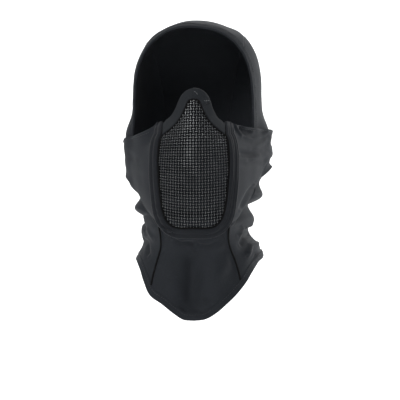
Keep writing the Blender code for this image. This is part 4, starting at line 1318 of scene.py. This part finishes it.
# Near-white colour on the knuckle tops: partly wear of the coat, partly painted highlight. The extra
# weight a little left of the middle is painted highlight only.
knuckle_glint_and_wear = guard.data.attributes.new("knuckle_glint_and_wear", "FLOAT", "POINT")
centre = bell(at[:, 0], -0.004, 0.007) * smooth((at[:, 2] + 0.180) / 0.03)
knuckle_glint_and_wear.data.foreach_set("value", smooth((ahead - GLINT_AND_WEAR_FROM) / GLINT_AND_WEAR_FADE) * (0.55 + 0.8 * centre))

coated = bpy.data.materials.new("coated_wire")
coated.use_nodes = True
nodes, links = coated.node_tree.nodes, coated.node_tree.links
shader = nodes["Principled BSDF"]
shader.inputs["Metallic"].default_value = 0.75
shader.inputs["Specular IOR Level"].default_value = 0.5
glint_and_wear_input = nodes.new("ShaderNodeAttribute")
glint_and_wear_input.attribute_name = "knuckle_glint_and_wear"
patches = nodes.new("ShaderNodeTexNoise")
patches.inputs["Scale"].default_value = 160.0
patches.inputs["Detail"].default_value = 3.0
glint_and_wear_amount = nodes.new("ShaderNodeMath")
glint_and_wear_amount.operation = "MULTIPLY"
tone = nodes.new("ShaderNodeMix")
tone.data_type = "RGBA"
# Black coat, and near white on the knuckles as wear and painted highlight.
tone.inputs[6].default_value = (0.034, 0.037, 0.040, 1)
tone.inputs[7].default_value = (0.900, 0.920, 0.930, 1)
gloss = nodes.new("ShaderNodeMapRange")
gloss.inputs["To Min"].default_value = 0.36
gloss.inputs["To Max"].default_value = 0.26
bump = nodes.new("ShaderNodeBump")
bump.inputs["Strength"].default_value = 0.2
bump.inputs["Distance"].default_value = 0.0001
links.new(nodes.new("ShaderNodeTexCoord").outputs["Object"], patches.inputs["Vector"])
links.new(glint_and_wear_input.outputs["Fac"], glint_and_wear_amount.inputs[0])
links.new(patches.outputs["Fac"], glint_and_wear_amount.inputs[1])
links.new(glint_and_wear_amount.outputs["Value"], tone.inputs[0])
links.new(glint_and_wear_amount.outputs["Value"], gloss.inputs["Value"])
links.new(gloss.outputs["Result"], shader.inputs["Roughness"])
links.new(tone.outputs[2], shader.inputs["Base Color"])
links.new(patches.outputs["Fac"], bump.inputs["Height"])
links.new(bump.outputs["Normal"], shader.inputs["Normal"])
guard.data.materials.append(coated)
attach(guard, "root")
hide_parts("mesh_guard")

# Roll: the jersey folded twice over the edge of the mesh beside the mouth and under the chin, soft
# and full, so it shows two low ridges with a crease between them.
ROLL_THICKNESS = 0.0066
ROLL_STEPS = 260
ROLL_SIDE = 0.0036
ROLL_LEFT = 0.0006
# Section of the roll, across and out, as shares of its width and thickness.
ROLL_SHAPE = (
    (0.02, 0.04), (0.00, 0.22), (0.05, 0.40), (0.14, 0.50), (0.25, 0.53), (0.36, 0.50),
    (0.44, 0.43), (0.50, 0.41), (0.56, 0.44), (0.66, 0.49), (0.78, 0.49), (0.88, 0.42),
    (0.96, 0.28), (1.00, 0.06), (1.00, -0.14), (0.92, -0.36), (0.70, -0.48), (0.35, -0.50),
    (0.10, -0.48), (0.01, -0.34), (0.02, -0.12),
)


def folded_edge(name, path, ways, widths, thickness, shape, wrinkle, slant=0.0):
    """A closed fold of cloth run along a path on the guard, its section given across and out."""
    across = across_surface(path, ways)
    out = guard_normal(path[:, 0], path[:, 2])
    out = unit(out - across * np.sum(out * across, axis=1, keepdims=True))
    start = guard_point(path[:, 0], path[:, 2])
    ring = np.array(shape)
    ring = np.stack([ring, (ring + np.roll(ring, -1, axis=0)) / 2], axis=1).reshape(-1, 2)
    count = len(path) - 1

    def place(along, around):
        k = np.rint(along * count).astype(int)
        i = np.rint(around * len(ring)).astype(int) % len(ring)
        a, b = ring[i, 0] * widths[k], ring[i, 1] * thickness
        b = b * (1 + wrinkle(k / count, ring[i, 0]) * (b > 0))
        points = start[k] + across[k] * a[:, None] + out[k] * b[:, None]
        points[:, 2] -= slant * ring[i, 0] * (1 - smooth(np.minimum(k, count - k) / count / 0.045))
        return points

    piece = laid(name, count, len(ring), place, (0.300, 0.030))
    only(piece)
    bpy.ops.object.mode_set(mode="EDIT")
    bpy.ops.mesh.select_all(action="DESELECT")
    bpy.ops.mesh.select_mode(type="EDGE")
    bpy.ops.mesh.select_non_manifold(extend=False)
    bpy.ops.mesh.fill_holes(sides=0)
    bpy.ops.mesh.select_all(action="SELECT")
    bpy.ops.mesh.normals_make_consistent(inside=False)
    bpy.ops.object.mode_set(mode="OBJECT")
    applied(piece, "SUBSURF", levels=1, render_levels=1)
    piece.data.shade_smooth()
    return piece


# The roll is the hood's jersey given darker tones: painted shade, where the roll faces down and in
# under the guard.
roll_jersey_painted_shade = jersey(
    "roll_jersey_painted_shade", (0.0180, 0.0195, 0.0235), (0.0250, 0.0275, 0.0325), 0.0006, sheen=0.12
)
roll_line = roll_path(ROLL_STEPS)
ways = outward(roll_line)
chin = smooth(-ways[:, 2])
widths = ROLL_WIDTH + (ROLL_CHIN_WIDTH - ROLL_WIDTH) * chin
widths += (ROLL_SIDE + ROLL_LEFT * (ways[:, 0] < 0)) * (1 - chin)


def roll_wrinkle(along, across):
    """Small puckers at the corners of the mouth, and two long creases down the right side."""
    corners = bell(along, 0.36, 0.05) + bell(along, 0.64, 0.05)
    slow = 0.10 * np.sin(along * 41 + across * 2.0) * np.sin(along * 17.0 + 1.3)
    right = smooth((along - 0.56) / 0.06)
    inner = 0.16 * bell(across, 0.30 + 0.05 * np.sin(along * 25), 0.05)
    outer = 0.22 * bell(across, 0.76 + 0.04 * np.sin(along * 31 + 1), 0.05)
    return slow + 0.10 * corners * np.sin(along * 230 + across * 3.0) - right * (inner + outer)


roll = folded_edge(
    "chin_roll_cloth", roll_line, ways, widths, ROLL_THICKNESS, ROLL_SHAPE, roll_wrinkle, slant=0.004
)
roll.data.materials.append(roll_jersey_painted_shade)
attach(roll, "root")
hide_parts("chin_roll")

# Nose binding: smooth woven tape folded over the sloping edges of the mesh and across the bridge of
# the nose, its two ends lapped beside the ridge, sewn near both edges.
BINDING_WIDTH = 0.0128
BINDING_TOE = 0.0155
BINDING_THICKNESS = 0.0046
BINDING_STEPS = 150
# Section of the folded tape, across and out, as shares of its width and thickness.
TAPE_SHAPE = (
    (0.00, 0.06), (0.00, 0.28), (0.02, 0.38), (0.07, 0.43), (0.16, 0.44), (0.40, 0.46),
    (0.66, 0.46), (0.86, 0.44), (0.94, 0.40), (0.99, 0.26), (1.00, 0.06), (1.00, -0.18),
    (0.94, -0.36), (0.70, -0.44), (0.35, -0.46), (0.08, -0.44), (0.00, -0.30), (0.00, -0.12),
)


def nose_path(count):
    left, right = outline_half(-1), outline_half(1)
    left, right = left[left[:, 2] > SHOULDER], right[right[:, 2] > SHOULDER]
    return even(np.vstack([left[::-1], right[1:]]), count)


nose_line = nose_path(BINDING_STEPS)
run = np.linspace(0, 1, BINDING_STEPS)
nose_line[:, 0] += 0.001 * (1 - 2 * run)
toe = smooth((np.abs(2 * run - 1) - 0.62) / 0.38)
ways = unit(outward(nose_line) * (1 - toe)[:, None] + np.array((0, 0, 1.0)) * toe[:, None])
widths = BINDING_WIDTH + (BINDING_TOE - BINDING_WIDTH) * toe
widths += 0.0036 * bell(run, 0.13, 0.11) + 0.0010 * bell(run, 0.88, 0.10)


def tape_wrinkle(along, across):
    return 0.05 * np.sin(along * 33.0 + 0.7) * np.sin(along * 13.0)


tape_black = jersey(
    "tape_black", (0.0225, 0.0255, 0.0295), (0.0300, 0.0335, 0.0385), 0.0004, knit=0.10, sheen=0.12
)
binding = folded_edge(
    "nose_binding_tape", nose_line, ways, widths, BINDING_THICKNESS, TAPE_SHAPE, tape_wrinkle
)
binding.data.materials.append(tape_black)
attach(binding, "root")
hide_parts("nose_binding")

# Lapped end of the binding beside the ridge: a short second layer of the same tape, cut square and
# held down with a few loose tacks of pale thread.
LAP_START = 74
LAP_STEPS = 18.0
LAP_THICKNESS = 0.0007
LAP_TACKS = (
    ((0.05, 0.60), (0.22, 0.36), (0.34, 0.04)),
    ((0.66, 0.02), (0.78, 0.36), (0.84, 0.70), (0.80, 0.98)),
)


def lap_place(along, around, lift=0.0):
    k = LAP_START + along * LAP_STEPS
    low = np.floor(k).astype(int)
    part = (k - low)[:, None]
    points = nose_line[low] * (1 - part) + nose_line[low + 1] * part
    way = ways[low] * (1 - part) + ways[low + 1] * part
    across = across_surface(points, way)
    out = guard_normal(points[:, 0], points[:, 2])
    reach = 0.0006 + (BINDING_WIDTH - 0.0006) * around
    rise = BINDING_THICKNESS * 0.46 + 0.0008 - 0.0012 * (2 * around - 1) ** 6 + lift
    return guard_point(points[:, 0], points[:, 2]) + across * reach[:, None] + out * rise[:, None]


lap = laid("lapped_tape", 24, 18, lap_place, (0.010, 0.012))
creased(lap, (), front_view, rumple=0.0003, grain=300.0)
applied(lap, "SOLIDIFY", thickness=LAP_THICKNESS, offset=-1)
lap.data.materials.append(tape_black)
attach(lap, "root")
thread_pale = fibrous("thread_pale", 1500.0, (0.16, 0.165, 0.17), (0.34, 0.35, 0.36), 0.5)
tacks = []
for spots in LAP_TACKS:
    along, around = np.array(spots).T
    line = lap_place(along, around)
    tacks.append((line, lap_place(along, around, 0.001) - line))
stitched("lap_tacks", tacks, thread_pale, long=0.0024, pitch=0.0025, lean=0.35)

# Facing: thin near-black tape along the cut edge of the mesh all round. Its near-black colour is
# painted shadow for the dark gap between the mesh and the roll and the binding, which cover its outer
# half.
FACING_STEPS = 300
MILLIMETRE = 0.001
# Section of the facing, across and out, in millimetres.
FACING_SHAPE = (
    (-1.95, 0.30), (-1.80, 1.05), (0.0, 1.35), (2.5, 1.35), (5.0, 1.30),
    (5.0, -1.30), (2.5, -1.35), (0.0, -1.35), (-1.80, -1.05), (-1.95, -0.30),
)


def no_wrinkle(along, across):
    return 0.0


facing_line = even(np.vstack([outline_half(-1)[::-1], outline_half(1)[1:]]), FACING_STEPS)
# Near-black tones: painted shadow along the gap at the mesh's edge.
facing_painted_shadow = jersey(
    "facing_painted_shadow", (0.0035, 0.0037, 0.0040), (0.0060, 0.0062, 0.0068), 0.0004, knit=0.10, sheen=0.0
)
facing = folded_edge(
    "mesh_edge_painted_shadow_tape", facing_line, outward(facing_line), np.full(FACING_STEPS, MILLIMETRE),
    MILLIMETRE, FACING_SHAPE, no_wrinkle,
)
facing.data.materials.append(facing_painted_shadow)
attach(facing, "root")
